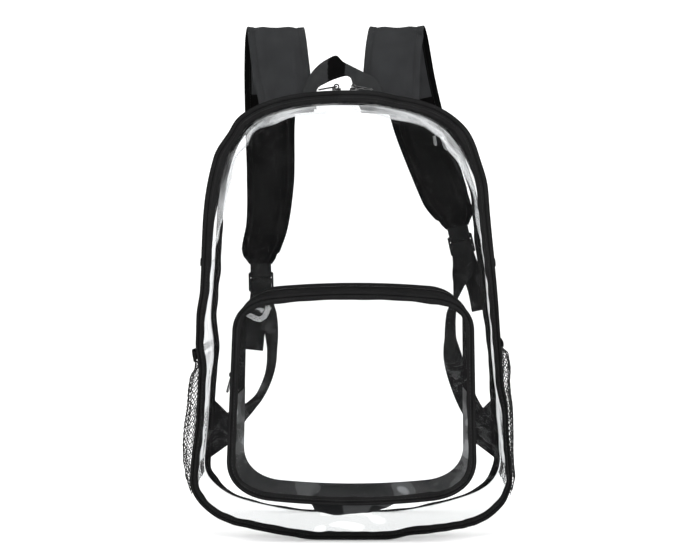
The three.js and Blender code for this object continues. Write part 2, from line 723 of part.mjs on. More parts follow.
// Slider and pull placed on a zip: along points the way the pull lies, out points away from the zip
function addSlider(sliderName, pullName, spot, along, out, tilt) {
  const across = out.clone().cross(along).normalize();
  const seat = new THREE.Group();
  seat.position.copy(spot);
  seat.quaternion.setFromRotationMatrix(new THREE.Matrix4().makeBasis(along, across, out));
  addPiece(sliderName, sliderGeometry(), blackMetal, seat);
  const tab = addPiece(pullName, pullGeometry(), blackMetal, seat);
  tab.position.z = pivotRise;
  tab.rotation.y = THREE.MathUtils.degToRad(tilt);
  backpack.add(seat);
}

const coilMiddle = body.front + zip.coilFrom + zip.coilWide / 2;
const crownIndex = outline.count / 2;
const coilSpot = (x) => {
  const probe = 0.5;
  const step = outline.at(crownIndex - probe).x / probe;
  return bodyWall(crownIndex - x / step, coilMiddle, zip.coilRise);
};
[
  { side: 'left', spot: coilSpot(mainSliders.leftX), along: leftwards },
  { side: 'right', spot: coilSpot(mainSliders.rightX), along: rightwards }
].forEach(({ side, spot, along }) => {
  addSlider(`slider_${side}`, `pull_${side}`, spot, along, upwards, mainSliders.tilt);
});

// Front pocket
function pocketLoop(size) {
  const half = new THREE.Path();
  const { pull: round, sagPull, crownPull } = pocketCorner;
  half.moveTo(0, size.bottom);
  half.quadraticCurveTo(
    (size.halfBottom - size.cornerBottom) / 2, size.bottom,
    size.halfBottom - size.cornerBottom, size.bottom + size.sag
  );
  half.bezierCurveTo(
    size.halfBottom - size.cornerBottom * round, size.bottom + size.sag * sagPull,
    size.halfBottom, size.bottom + size.cornerBottom * round,
    size.halfBottom, size.bottom + size.cornerBottom
  );
  half.lineTo(size.halfTop, size.top - size.cornerTop);
  half.bezierCurveTo(
    size.halfTop, size.top - size.cornerTop * round,
    size.halfTop - size.cornerTop * round, size.top - size.crown * crownPull,
    size.halfTop - size.cornerTop, size.top - size.crown
  );
  half.quadraticCurveTo((size.halfTop - size.cornerTop) / 2, size.top, 0, size.top);
  const loop = mirroredLoop(half, pocketSteps);
  const shifted = loop.points.map((point) => {
    const rise = (point.y - size.bottom) / (size.top - size.bottom);
    return new THREE.Vector2(point.x + size.centre + size.lean * rise, point.y);
  });
  return new Loop(shifted);
}

const faceLoop = pocketLoop(pocketFaceOutline);
const sewnLoop = pocketLoop(pocketBaseOutline);
const gussetFront = pocket.faceDepth + pocket.bindingThick / 2 + gap;

// Pocket wall at a share of its depth, from the front sheet at 0 to the face at 1
function pocketWall(index, share, lift) {
  const sewn = sewnLoop.at(index, -lift);
  const face = faceLoop.at(index, -lift);
  const spot = sewn.clone().lerp(face, share);
  const root = sewnLoop.at(index);
  const seamDepth = frontSheet(root.x, root.y) - pocket.standOff;
  const depth = THREE.MathUtils.lerp(seamDepth, gussetFront, share);
  return new THREE.Vector3(spot.x, depth, spot.y);
}

const faceRim = faceLoop.points.map((point, index) => faceLoop.at(index, pocket.bindingWide + gap));
const faceMiddle = (pocketFaceOutline.bottom + pocketFaceOutline.top) / 2;
const faceHub = new THREE.Vector2(pocketFaceOutline.centre, faceMiddle);
const faceSheet = (x, z, share) => pocket.faceDepth - body.wall / 2 - pocket.facePuff * (1 - share ** 2);
addPiece('pocket_face', domedSheet(faceRim, faceHub, pocketRings, faceSheet, body.wall), clearPvc);
addPiece('pocket_binding', bindingRing(
  faceLoop, () => pocket.bindingWide, () => pocket.faceDepth, pocket.bindingThick
), boundFabric);

const pocketZipIndex = faceLoop.indexAt(pocket.zipEnd);
const pocketEnds = (from, to) => {
  return { from: faceLoop.moved(from, gap / 2), to: faceLoop.moved(to, -gap / 2) };
};
const pocketZipRange = pocketEnds(pocketZipIndex, faceLoop.count - pocketZipIndex);
const shareGap = gap / (frontSheet(0, pocket.zipEnd) - gussetFront);
const always = (value) => () => value;
addPiece('pocket_gusset', strip(pocketWall, {
  ...pocketEnds(-pocketZipIndex, pocketZipIndex), near: always(0), far: always(1), rows: 2, thick: pocket.wall
}), boundFabric);
addPiece('pocket_zip_rear', strip(pocketWall, {
  ...pocketZipRange, near: always(0), far: always(pocket.zipRearEdge), rows: 1, thick: pocket.wall
}), boundFabric);
addPiece('pocket_zip_front', strip(pocketWall, {
  ...pocketZipRange, near: always(pocket.zipFrontEdge), far: always(1), rows: 1, thick: pocket.wall
}), boundFabric);
addPiece('pocket_zip_coil', strip(pocketWall, {
  ...pocketZipRange, near: always(pocket.zipRearEdge + shareGap), far: always(pocket.zipFrontEdge - shareGap),
  rows: 2, thick: pocket.wall + pocket.coilSink,
  lift: (along, share) => pocket.coilRise * Math.sin(Math.PI * share)
}), blackNylon);

const pocketSliderIndex = faceLoop.count - faceLoop.indexAt(pocket.sliderHeight);
const midShare = (pocket.zipRearEdge + pocket.zipFrontEdge) / 2;
const pocketSeat = pocketWall(pocketSliderIndex, midShare, pocket.coilRise);
const pocketFront = pocketWall(pocketSliderIndex, 1, 0);
const pocketRoot = pocketWall(pocketSliderIndex, 0, 0);
const pocketAcross = pocketFront.sub(pocketRoot).setZ(0).normalize();
const pocketOut = downwards.clone().cross(pocketAcross);
addSlider('pocket_slider', 'pocket_pull', pocketSeat, downwards, pocketOut, pocket.pullTilt);

// Net side pockets
function netLift(side, along, share) {
  const rise = side === 'right' ? along : 1 - along;
  const bulge = smoothTable(netBulge[side], 'rise', 'out', rise);
  return netPocket.clear + bulge * Math.sin(Math.PI * share) ** netPocket.fullness;
}
const netFoot = outline.indexAt(netPocket.foot);
const netMouth = outline.indexAt(netPocket.mouth);
const rimTop = outline.indexAt(netPocket.rimTop);
const netDepth = { near: behindFrontSeam(0), far: () => body.back, rows: 8 };
const rimLift = (side, share) => netPocket.rimThick + netLift(side, side === 'right' ? 1 : 0, share);
const netRight = { side: 'right', net: [netFoot, netMouth], rim: [netMouth, rimTop] };
const netLeft = {
  side: 'left', net: [leftOf(netMouth), leftOf(netFoot)], rim: [leftOf(rimTop), leftOf(netMouth)]
};
[netRight, netLeft].forEach(({ side, net, rim }) => {
  addPiece(`mesh_pocket_${side}`, strip(plainWall, {
    ...trimmed(...net), ...netDepth, thick: netPocket.wall,
    lift: (along, share) => netPocket.wall + netLift(side, along, share)
  }), blackNet);
  addPiece(`mesh_rim_${side}`, strip(plainWall, {
    ...trimmed(...rim), ...netDepth, thick: netPocket.rimThick, lift: (along, share) => rimLift(side, share)
  }), boundFabric);
});

// Shoulder straps: pad, buckle loop, ladder lock, webbing and anchor tab
const lockBarSpan = lock.barHalf + webbing.clear + webbing.thick / 2;
const lockLegOut = lock.thick / 2 + webbing.clear + webbing.thick / 2;

function lockFrame(place) {
  const lean = THREE.MathUtils.degToRad(place.lean);
  const across = new THREE.Vector3(Math.cos(lean), 0, Math.sin(lean));
  const down = new THREE.Vector3(Math.sin(lean), 0, -Math.cos(lean));
  const middle = new THREE.Vector3(place.x, place.y, place.z);
  const spot = (out, fall) => middle.clone().addScaledVector(down, fall).setY(place.y + out);
  return { across, spot };
}

function lockGeometry() {
  const half = lock.wide / 2;
  const low = lock.topBar - lock.barHalf;
  const high = lock.lowBar + lock.barHalf;
  const frame = new THREE.Shape();
  frame.moveTo(-half + lock.round, low);
  frame.lineTo(half - lock.round, low);
  frame.quadraticCurveTo(half, low, half, low + lock.round);
  frame.lineTo(half, high - lock.round);
  frame.quadraticCurveTo(half, high, half - lock.round, high);
  frame.lineTo(-half + lock.round, high);
  frame.quadraticCurveTo(-half, high, -half, high - lock.round);
  frame.lineTo(-half, low + lock.round);
  frame.quadraticCurveTo(-half, low, -half + lock.round, low);
  const slotHalf = half - lock.railWide;
  const slots = [
    { from: lock.topBar + lock.barHalf, to: -lock.barHalf },
    { from: lock.barHalf, to: lock.lowBar - lock.barHalf }
  ];
  slots.forEach(({ from, to }) => {
    const slot = new THREE.Path();
    slot.moveTo(-slotHalf, from);
    slot.lineTo(-slotHalf, to);
    slot.lineTo(slotHalf, to);
    slot.lineTo(slotHalf, from);
    slot.closePath();
    frame.holes.push(slot);
  });
  const solid = new THREE.ExtrudeGeometry(frame, {
    depth: lock.thick, bevelEnabled: false, curveSegments: 3
  });
  solid.translate(0, 0, -lock.thick / 2);
  solid.rotateX(-Math.PI / 2);
  return solid;
}

// Turn of webbing round a bar, from one leg to the other, squared enough to clear the bar's edges
function barTurn(frame, bar, way) {
  const spots = [];
  const squared = (value) => Math.sign(value) * Math.abs(value) ** turn.power;
  for (let step = 0; step <= turn.steps; step += 1) {
    const angle = Math.PI * step / turn.steps;
    const out = lockLegOut * squared(Math.cos(angle));
    const fall = bar + way * lockBarSpan * squared(Math.sin(angle));
    spots.push(frame.spot(out, fall));
  }
  return spots;
}

function withSize(rows, facing) {
  const { wide, thick } = webbing;
  return rows.map(({ x, y, z, twist = 0 }) => ({ x, y, z, twist, wide, thick, facing, steps: webbingSteps }));
}

function anchorTabGeometry(sign) {
  const seamX = (z) => {
    const index = outline.indexAt(z);
    return backOutline.at(sign > 0 ? index : leftOf(index)).x - sign * anchorTab.seamInset;
  };
  const tipX = sign * anchorTab.tipX + anchorTab.aside;
  const shape = new THREE.Shape();
  shape.moveTo(seamX(anchorTab.seamLow), anchorTab.seamLow);
  shape.lineTo(seamX(anchorTab.seamHigh), anchorTab.seamHigh);
  shape.lineTo(tipX, anchorTab.tipHigh);
  shape.lineTo(tipX, anchorTab.tipLow);
  shape.closePath();
  const solid = new THREE.ExtrudeGeometry(shape, { depth: anchorTab.thick, bevelEnabled: false });
  solid.rotateX(Math.PI / 2);
  solid.translate(0, body.back + anchorTab.behindSeam + anchorTab.thick, 0);
  return solid;
}

[
  { side: 'left', sign: -1, pad: padLeft, place: lockLeft, tail: tailLeft, lower: lowerLeft },
  { side: 'right', sign: 1, pad: padRight, place: lockRight, tail: tailRight, lower: lowerRight }
].forEach(({ side, sign, pad, place, tail, lower }) => {
  const frame = lockFrame(place);
  const padEnd = lock.topBar - lock.padReach;
  const lowerEnd = padEndRows.map(({ above, wide, thick }) => {
    const { x, y, z } = frame.spot(0, padEnd - above);
    return { x, y, z, wide, thick, steps: 1 };
  });
  const padRoute = [...pad, ...lowerEnd].map((row) => ({ ...row, facing: 0, twist: 0 }));
  addPiece(`strap_pad_${side}`, sweptBand(padRoute, padSection, rightwards), padFabric);

  const loopRoute = [
    frame.spot(lockLegOut, padEnd + gap),
    ...barTurn(frame, lock.topBar, 1),
    frame.spot(-lockLegOut, padEnd + gap)
  ];
  const buckleLoop = sweptBand(withSize(loopRoute, 0), flatSection, frame.across);
  addPiece(`buckle_loop_${side}`, buckleLoop, blackWebbing);

  const seat = new THREE.Group();
  seat.position.set(place.x, place.y, place.z);
  seat.rotation.y = THREE.MathUtils.degToRad(-place.lean);
  addPiece(`ladder_lock_${side}`, lockGeometry(), blackNylon, seat);
  backpack.add(seat);

  const upperRoute = withSize([...[...tail].reverse(), ...barTurn(frame, 0, -1)], 0);
  const route = [...upperRoute, ...withSize(lower, 1)];
  addPiece(`strap_webbing_${side}`, sweptBand(route, flatSection, frame.across), blackWebbing);
  addPiece(`anchor_tab_${side}`, anchorTabGeometry(sign), boundFabric);
});

// Haul handle
const handle = handleSections.map((row) => {
  const top = new THREE.Vector3(row.topX, row.topY, row.topZ);
  const low = new THREE.Vector3(row.lowX, row.lowY, row.lowZ);
  const moved = (offset) => [top.clone(), low.clone()].map((spot) => spot.setY(spot.y + offset));
  return { outer: moved(-handleThick / 2), inner: moved(handleThick / 2) };
});
addPiece('haul_handle', loft(handle), blackWebbing);

export default backpack;
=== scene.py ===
import copy
import math

import bmesh
import bpy
import numpy as np
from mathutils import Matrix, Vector


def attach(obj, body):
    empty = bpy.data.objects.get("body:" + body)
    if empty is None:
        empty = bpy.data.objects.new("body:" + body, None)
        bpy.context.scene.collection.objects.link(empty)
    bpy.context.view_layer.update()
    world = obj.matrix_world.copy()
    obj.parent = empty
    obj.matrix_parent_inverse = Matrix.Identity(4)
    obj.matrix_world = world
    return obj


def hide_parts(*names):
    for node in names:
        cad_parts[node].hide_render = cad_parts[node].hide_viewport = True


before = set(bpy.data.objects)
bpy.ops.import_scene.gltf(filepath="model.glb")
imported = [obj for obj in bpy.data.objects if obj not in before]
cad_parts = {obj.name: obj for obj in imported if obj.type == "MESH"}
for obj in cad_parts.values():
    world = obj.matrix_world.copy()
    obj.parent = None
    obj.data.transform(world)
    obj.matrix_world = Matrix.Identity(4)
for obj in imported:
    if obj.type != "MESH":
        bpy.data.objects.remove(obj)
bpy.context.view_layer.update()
scene = bpy.context.scene
mm = 0.001  # lengths below are in millimetres, meshes in metres
bagBody = "bag"
clothMap = "cloth"  # UV map in metres, along and across each piece
print("frame loaded")


class Wire:
    # a socket that can stand in a sum
    def __init__(self, graph, socket):
        self.graph = graph
        self.socket = socket

    def maths(self, operation, first, second=0.0):
        return self.graph.node("ShaderNodeMath", {"operation": operation}, {0: first, 1: second})

    def __add__(self, other):
        return self.maths("ADD", self, other)

    def __radd__(self, other):
        return self.maths("ADD", other, self)

    def __sub__(self, other):
        return self.maths("SUBTRACT", self, other)

    def __rsub__(self, other):
        return self.maths("SUBTRACT", other, self)

    def __mul__(self, other):
        return self.maths("MULTIPLY", self, other)

    def __rmul__(self, other):
        return self.maths("MULTIPLY", other, self)

    def __pow__(self, other):
        return self.maths("POWER", self, other)

    def sine(self):
        return self.maths("SINE", self)

    def size(self):
        return self.maths("ABSOLUTE", self)


class Graph:
    # one method adds any node: settings first, then values or links of its sockets
    def __init__(self, tree):
        self.tree = tree

    def node(self, kind, settings=None, inputs=None, output=0):
        made = self.tree.nodes.new(kind)
        for key, value in (settings or {}).items():
            if key == "stops":
                self.fillRamp(made.color_ramp, value)
            else:
                setattr(made, key, value)
        for key, value in (inputs or {}).items():
            if isinstance(value, Wire):
                self.tree.links.new(value.socket, made.inputs[key])
            else:
                made.inputs[key].default_value = value
        return Wire(self, made.outputs[output]) if len(made.outputs) else None

    def fillRamp(self, ramp, stops):
        while len(ramp.elements) < len(stops):
            ramp.elements.new(1.0)
        for element, (position, shade) in zip(ramp.elements, stops):
            element.position = position
            element.color = (*shade, 1.0)

    def ramp(self, factor, stops):
        return self.node("ShaderNodeValToRGB", {"stops": stops}, {"Fac": factor})

    def split(self, vector):
        parts = self.node("ShaderNodeSeparateXYZ", None, {"Vector": vector}).socket.node.outputs
        return [Wire(self, part) for part in parts]

    def along(self):
        return self.split(self.node("ShaderNodeUVMap", {"uv_map": clothMap}))[:2]

    def spot(self):
        return self.node("ShaderNodeTexCoord", output="Object")

    def noise(self, scale, detail=2.0, stretch=None):
        spot = self.spot()
        if stretch:
            spot = self.node("ShaderNodeMapping", None, {"Vector": spot, "Scale": stretch})
        return self.node("ShaderNodeTexNoise", None, {"Vector": spot, "Scale": scale, "Detail": detail})

    def remap(self, value, low, high, first=0.0, last=1.0):
        return self.node("ShaderNodeMapRange", None, {
            "Value": value, "From Min": low, "From Max": high, "To Min": first, "To Max": last,
        })

    def bump(self, height, strength, deep, under=None):
        below = {"Normal": under} if under else {}
        return self.node("ShaderNodeBump", None, {
            "Strength": strength, "Distance": deep, "Height": height, **below,
        })

    def mix(self, share, first, second):
        return self.node("ShaderNodeMixShader", None, {"Fac": share, 1: first, 2: second})

    def cover(self, surface):
        self.node("ShaderNodeOutputMaterial", None, {"Surface": surface})


def newFinish(name):
    material = bpy.data.materials.new(name)
    material.use_nodes = True
    material.node_tree.nodes.clear()
    return material, Graph(material.node_tree)


# Clear PVC: glass-like at a slant, nearly nothing head-on
clearLook = {
    "through": (0.997, 0.998, 0.998, 1.0), "mirrored": (0.96, 0.97, 0.975, 1.0),
    "hazeAndReflectionColor": (0.9, 0.91, 0.92, 1.0),
    "smoke": (0.86, 0.87, 0.875, 1.0), "smokeAtSlant": 0.9, "smokePower": 3.0,
    "headOn": 0.014, "slant": 0.15, "slantPower": 5.0, "gloss": 0.03,
    "rippleScale": 26.0, "rippleDeep": 0.0011, "rippleStrength": 0.35,
    "haze": 0.0006, "hazeScale": 9.0, "hazeAtSlant": 0.0, "streakScale": 24.0, "streakEdges": (0.4, 0.58),
    "facets": [],
}
# dents that catch the overhead lamp: half width, then x and z along the dent in millimetres
frontFacets = [(1.4, [(80.6, 385.7), (81.6, 378.1)]), (1.7, [(87.8, 384.7), (91.6, 374.3)])]
pocketFacets = [
    (2.5, [(-79.8, 232.2), (-76.1, 224.8), (-79.3, 217.4), (-84.9, 214.6), (-90.9, 216.9), (-99.3, 222.0)]),
    (1.7, [(-92.8, 230.4), (-87.2, 226.2), (-81.7, 223.0)]),
]
facetSlope = 0.5


def facetHeight(graph, facets):
    x, _, z = graph.split(graph.spot())
    total = 0.0
    for half, line in facets:
        away = 1.0
        for (x0, z0), (x1, z1) in zip(line, line[1:]):
            runX, runZ = (x1 - x0) * mm, (z1 - z0) * mm
            fromX, fromZ = x - x0 * mm, z - z0 * mm
            share = graph.node("ShaderNodeClamp", None, {
                "Value": (fromX * runX + fromZ * runZ) * (1 / (runX ** 2 + runZ ** 2)),
            })
            gap = ((fromX - share * runX) ** 2.0 + (fromZ - share * runZ) ** 2.0) ** 0.5
            away = gap.maths("MINIMUM", gap, away)
        inside = away.maths("LESS_THAN", away, half * mm)
        total = inside * (line[0][1] * mm - z) + total
    return total


def makeClearPvc(name, **changes):
    look = {**clearLook, **changes}
    material, graph = newFinish(name)
    bump = graph.bump(graph.noise(look["rippleScale"]), look["rippleStrength"], look["rippleDeep"])
    if look["facets"]:
        bump = graph.bump(facetHeight(graph, look["facets"]), 1.0, facetSlope, bump)
    facing = graph.node("ShaderNodeLayerWeight", None, {"Blend": 0.5, "Normal": bump}, "Facing")
    clear = graph.node("ShaderNodeBsdfTransparent", None, {"Color": look["through"]})
    smoky = graph.node("ShaderNodeBsdfTransparent", None, {"Color": look["smoke"]})
    # the way through the sheet is longer at a slant
    through = graph.mix(look["smokeAtSlant"] * facing ** look["smokePower"], clear, smoky)
    mirror = graph.node("ShaderNodeBsdfPrincipled", None, {
        "Base Color": look["mirrored"], "Metallic": 1.0, "Roughness": look["gloss"], "Normal": bump,
    })
    film = graph.mix(look["headOn"] + look["slant"] * facing ** look["slantPower"], through, mirror)
    # milky layer: faint haze all over; at a slant, in streaks, a white that is partly haze and partly a
    # painted reflection of the white room
    hazeAndReflection = graph.node("ShaderNodeBsdfPrincipled", None, {"Base Color": look["hazeAndReflectionColor"], "Roughness": 0.5})
    streak = graph.remap(graph.noise(look["streakScale"], 3.0, (1.0, 1.0, 0.6)), *look["streakEdges"])
    haze = look["haze"] * graph.noise(look["hazeScale"], 4.0) + look["hazeAtSlant"] * streak * facing ** 2.0
    graph.cover(graph.mix(haze, film, hazeAndReflection))
    return material


# Woven cloths: pitch is one thread in millimetres
tapeLook = {"name": "binding_tape", "weave": "twill", "pitch": 0.7, "dark": 0.003, "light": 0.016,
            "tint": (1.0, 1.0, 1.02), "rough": 0.74, "deep": 0.00009}
padLook = {"name": "pad_cloth", "weave": "plain", "pitch": 0.8, "dark": 0.012, "light": 0.031,
           "tint": (0.96, 0.99, 1.03), "rough": 0.82, "deep": 0.00010}
# lining cloth, also used as painted shade on the hanging edging and the handle's fold
liningAndShadeLook = {"name": "pad_lining_and_shade", "weave": "knit", "pitch": 1.5, "dark": 0.0014, "light": 0.0042,
              "tint": (1.0, 0.99, 0.99), "rough": 0.7, "deep": 0.00016}
webLook = {"name": "webbing", "weave": "ribbed", "pitch": 1.3, "dark": 0.003, "light": 0.014,
           "tint": (1.0, 1.0, 1.02), "rough": 0.66, "deep": 0.00022}
handleLook = {"name": "handle_webbing", "weave": "ribbed", "pitch": 1.3, "dark": 0.010, "light": 0.034,
              "tint": (0.97, 1.0, 1.02), "rough": 0.66, "deep": 0.00022}
elasticLook = {"name": "elastic", "weave": "ribbed", "pitch": 1.1, "dark": 0.003, "light": 0.012,
               "tint": (1.0, 1.0, 1.0), "rough": 0.72, "deep": 0.0002}


def weaveHeight(graph, weave, pitch):
    along, across = graph.along()
    turn = 2 * math.pi / (pitch * mm)
    if weave == "twill":
        return 0.5 + 0.5 * ((along + across) * turn).sine()
    if weave == "ribbed":
        rib = (across * (turn / 2)).sine().size()
        return rib * (0.75 + 0.25 * (along * (turn * 1.4)).sine())
    if weave == "knit":
        return ((along * turn).sine() * ((across + along * 0.5) * turn).sine()).size()
    return 0.5 + 0.5 * ((along * turn).sine() * (across * turn).sine())


def makeCloth(look):
    material, graph = newFinish(look["name"])
    height = weaveHeight(graph, look["weave"], look["pitch"])
    fade = graph.noise(55.0, 3.0)
    # painted highlight and shade: the colour follows the weave's height, the raised threads lighter than the
    # hollows, with random tone mixed in
    shade = 0.55 * height + 0.45 * fade
    dark = tuple(look["dark"] * part for part in look["tint"])
    light = tuple(look["light"] * part for part in look["tint"])
    cloth = graph.node("ShaderNodeBsdfPrincipled", None, {
        "Base Color": graph.ramp(shade, [(0.1, dark), (0.9, light)]),
        "Roughness": look["rough"] - 0.1 + 0.2 * fade,
        "Specular IOR Level": 0.0, "Normal": graph.bump(height, 0.6, look["deep"]),
    })
    graph.cover(cloth)
    return material


# Coated pocket cloth with painted reflections: soft-edged lighter patches in its base colour stand in for
# the sheet in front mirrored in its shiny side
coatedLook = {
    "dark": (0.0035, 0.004, 0.0044), "middle": (0.030, 0.031, 0.032), "paintedReflection": (0.13, 0.135, 0.14),
    "patchScale": 44.0, "pitch": 0.6, "deep": 0.00006, "darkBase": (0.06, 0.11, 0.86),
}


def makeCoated():
    look = coatedLook
    material, graph = newFinish("coated_cloth")
    # fewer painted reflections towards the bottom, so the base stays darker
    rise = graph.remap(graph.split(graph.spot())[2], *look["darkBase"])
    paintedReflection = rise * graph.noise(look["patchScale"], 1.0, (0.7, 0.4, 1.0))
    shade = graph.ramp(paintedReflection, [
        (0.465, look["dark"]), (0.485, look["middle"]), (0.59, look["middle"]), (0.62, look["paintedReflection"]),
    ])
    cloth = graph.node("ShaderNodeBsdfPrincipled", None, {
        "Base Color": shade, "Roughness": 0.62 - 0.25 * paintedReflection, "Specular IOR Level": 0.12,
        "Normal": graph.bump(weaveHeight(graph, "plain", look["pitch"]), 0.4, look["deep"]),
    })
    graph.cover(cloth)
    return material


# Plain black finishes: thread, nylon and lacquered metal
plainLook = {"metal": 0.0, "coat": 0.0, "shine": 0.1}
plainLooks = {
    "thread": {"dark": 0.006, "light": 0.022, "grain": 900.0, "rough": 0.6, "deep": 0.00003},
    "net_thread": {"dark": 0.003, "light": 0.010, "grain": 500.0, "rough": 0.65, "deep": 0.00003},
    "nylon": {"dark": 0.004, "light": 0.010, "grain": 700.0, "rough": 0.55, "deep": 0.00002},
    "lacquer": {"dark": 0.03, "light": 0.08, "grain": 300.0, "rough": 0.24, "deep": 0.00001,
                "metal": 0.75, "coat": 0.4, "shine": 0.5},
}


def makePlain(name):
    look = {**plainLook, **plainLooks[name]}
    material, graph = newFinish(name)
    wear = graph.noise(60.0, 4.0)
    skin = graph.node("ShaderNodeBsdfPrincipled", None, {
        "Base Color": graph.ramp(wear, [(0.3, (look["dark"],) * 3), (0.75, (look["light"],) * 3)]),
        "Roughness": look["rough"] - 0.08 + 0.16 * wear,
        "Metallic": look["metal"], "Coat Weight": look["coat"], "Coat Roughness": 0.2,
        "Specular IOR Level": look["shine"],
        "Normal": graph.bump(graph.noise(look["grain"]), 0.5, look["deep"]),
    })
    graph.cover(skin)
    return material


clearPvc = makeClearPvc("clear_pvc")
frontPvc = makeClearPvc("front_pvc", facets=frontFacets)
pocketPvc = makeClearPvc("pocket_pvc", facets=pocketFacets, headOn=0.022)
basePvc = makeClearPvc("base_pvc", through=(0.935, 0.935, 0.932, 1.0), headOn=0.01, slant=0.12)
# side and roof sheets: at a slant they turn white, partly haze and partly a painted reflection of the white
# room
gussetPvc = makeClearPvc("gusset_pvc", hazeAtSlant=0.55)
roofPvc = makeClearPvc("roof_pvc", hazeAtSlant=0.36)
tapeCloth = makeCloth(tapeLook)
padCloth = makeCloth(padLook)
liningAndShade = makeCloth(liningAndShadeLook)
webCloth = makeCloth(webLook)
handleCloth = makeCloth(handleLook)
elasticCloth = makeCloth(elasticLook)
coatedCloth = makeCoated()
thread = makePlain("thread")
netThread = makePlain("net_thread")
nylon = makePlain("nylon")
lacquer = makePlain("lacquer")
print("finishes ready")


class Mould:
    # grids of points gathered into one closed mesh, with cloth coordinates in metres
    def __init__(self):
        self.points = []
        self.faces = []
        self.corners = []
        self.slots = []

    def running(self, grid, axis, closed):
        after = np.roll(grid, -1, axis) if closed else grid
        steps = np.linalg.norm(np.diff(after, axis=axis) if not closed else after - grid, axis=-1)
        return np.concatenate([[0.0], np.cumsum(steps.mean(axis=1 - axis))]) * mm

    def grid(self, grid, closed=(False, False), slot=0):
        rows, columns = grid.shape[:2]
        first = sum(len(points) for points in self.points)
        self.points.append(grid.reshape(-1, 3))
        along = self.running(grid, 0, closed[0])
        across = self.running(grid, 1, closed[1])
        slotOf = np.broadcast_to(slot, (rows, columns))
        for row in range(rows if closed[0] else rows - 1):
            rowAfter = (row + 1) % rows
            for column in range(columns if closed[1] else columns - 1):
                columnAfter = (column + 1) % columns
                self.faces.append([
                    first + row * columns + column, first + row * columns + columnAfter,
                    first + rowAfter * columns + columnAfter, first + rowAfter * columns + column,
                ])
                self.corners += [
                    (along[row], across[column]), (along[row], across[column + 1]),
                    (along[row + 1], across[column + 1]), (along[row + 1], across[column]),
                ]
                self.slots.append(int(slotOf[row, column]))
        return self

    def shell(self, outer, inner, ring=False, slot=0):
        # two faces and the rims between them; a ring closes on itself across the grid
        self.grid(outer, (False, ring), slot)
        self.grid(inner, (False, ring), slot)
        for end in (0, -1):
            self.grid(np.stack([outer[end], inner[end]]), (False, ring), slot)
            if not ring:
                self.grid(np.stack([outer[:, end], inner[:, end]]), (False, False), slot)
        return self

    def tube(self, rings, loop=False, slot=0):
        self.grid(rings, (loop, True), slot)
        if not loop:
            slotOf = np.broadcast_to(slot, rings.shape[:2])
            for end in (0, -1):
                middle = np.broadcast_to(rings[end].mean(axis=0), rings[end].shape)
                self.grid(np.stack([rings[end], middle]), (False, True), slotOf[end])
        return self

    def build(self, name, finishes, sharp=50.0):
        mesh = bpy.data.meshes.new(name)
        mesh.from_pydata((np.concatenate(self.points) * mm).tolist(), [], self.faces)
        layer = mesh.uv_layers.new(name=clothMap)
        layer.data.foreach_set("uv", np.array(self.corners, np.float32).ravel())
        for finish in finishes:
            mesh.materials.append(finish)
        mesh.polygons.foreach_set("material_index", self.slots)
        work = bmesh.new()
        work.from_mesh(mesh)
        bmesh.ops.remove_doubles(work, verts=work.verts, dist=2e-6)
        bmesh.ops.dissolve_degenerate(work, edges=work.edges, dist=1e-6)
        bmesh.ops.recalc_face_normals(work, faces=work.faces)
        work.to_mesh(mesh)
        work.free()
        mesh.polygons.foreach_set("use_smooth", [True] * len(mesh.polygons))
        mesh.set_sharp_from_angle(angle=math.radians(sharp))
        made = bpy.data.objects.new(name, mesh)
        scene.collection.objects.link(made)
        return made


def settle(piece, slot, *nodes, body=bagBody):
    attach(piece, body)
    if nodes:
        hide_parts(*nodes)
    return piece


def smoothStep(value, low, high):
    share = np.clip((value - low) / (high - low), 0.0, 1.0)
    return share * share * (3 - 2 * share)


def smoothTable(rows, value):
    # rows of (place, amount), eased from one to the next
    places, amounts = np.array(rows, float).T
    value = np.clip(value, places[0], places[-1])
    low = np.clip(np.searchsorted(places, value, side="right") - 1, 0, len(places) - 2)
    share = smoothStep((value - places[low]) / (places[low + 1] - places[low]), 0.0, 1.0)
    return amounts[low] + (amounts[low + 1] - amounts[low]) * share


def softNoise(u, v, size, seed, waves=7):
    # gentle waves about one size apart, the same on each run
    draw = np.random.default_rng(seed)
    total = 0.0
    for _ in range(waves):
        heading = draw.uniform(0, 2 * math.pi)
        pace = 2 * math.pi / (size * draw.uniform(0.7, 1.5))
        total = total + np.sin(pace * (u * math.cos(heading) + v * math.sin(heading)) + draw.uniform(0, 7))
    return total / math.sqrt(waves)


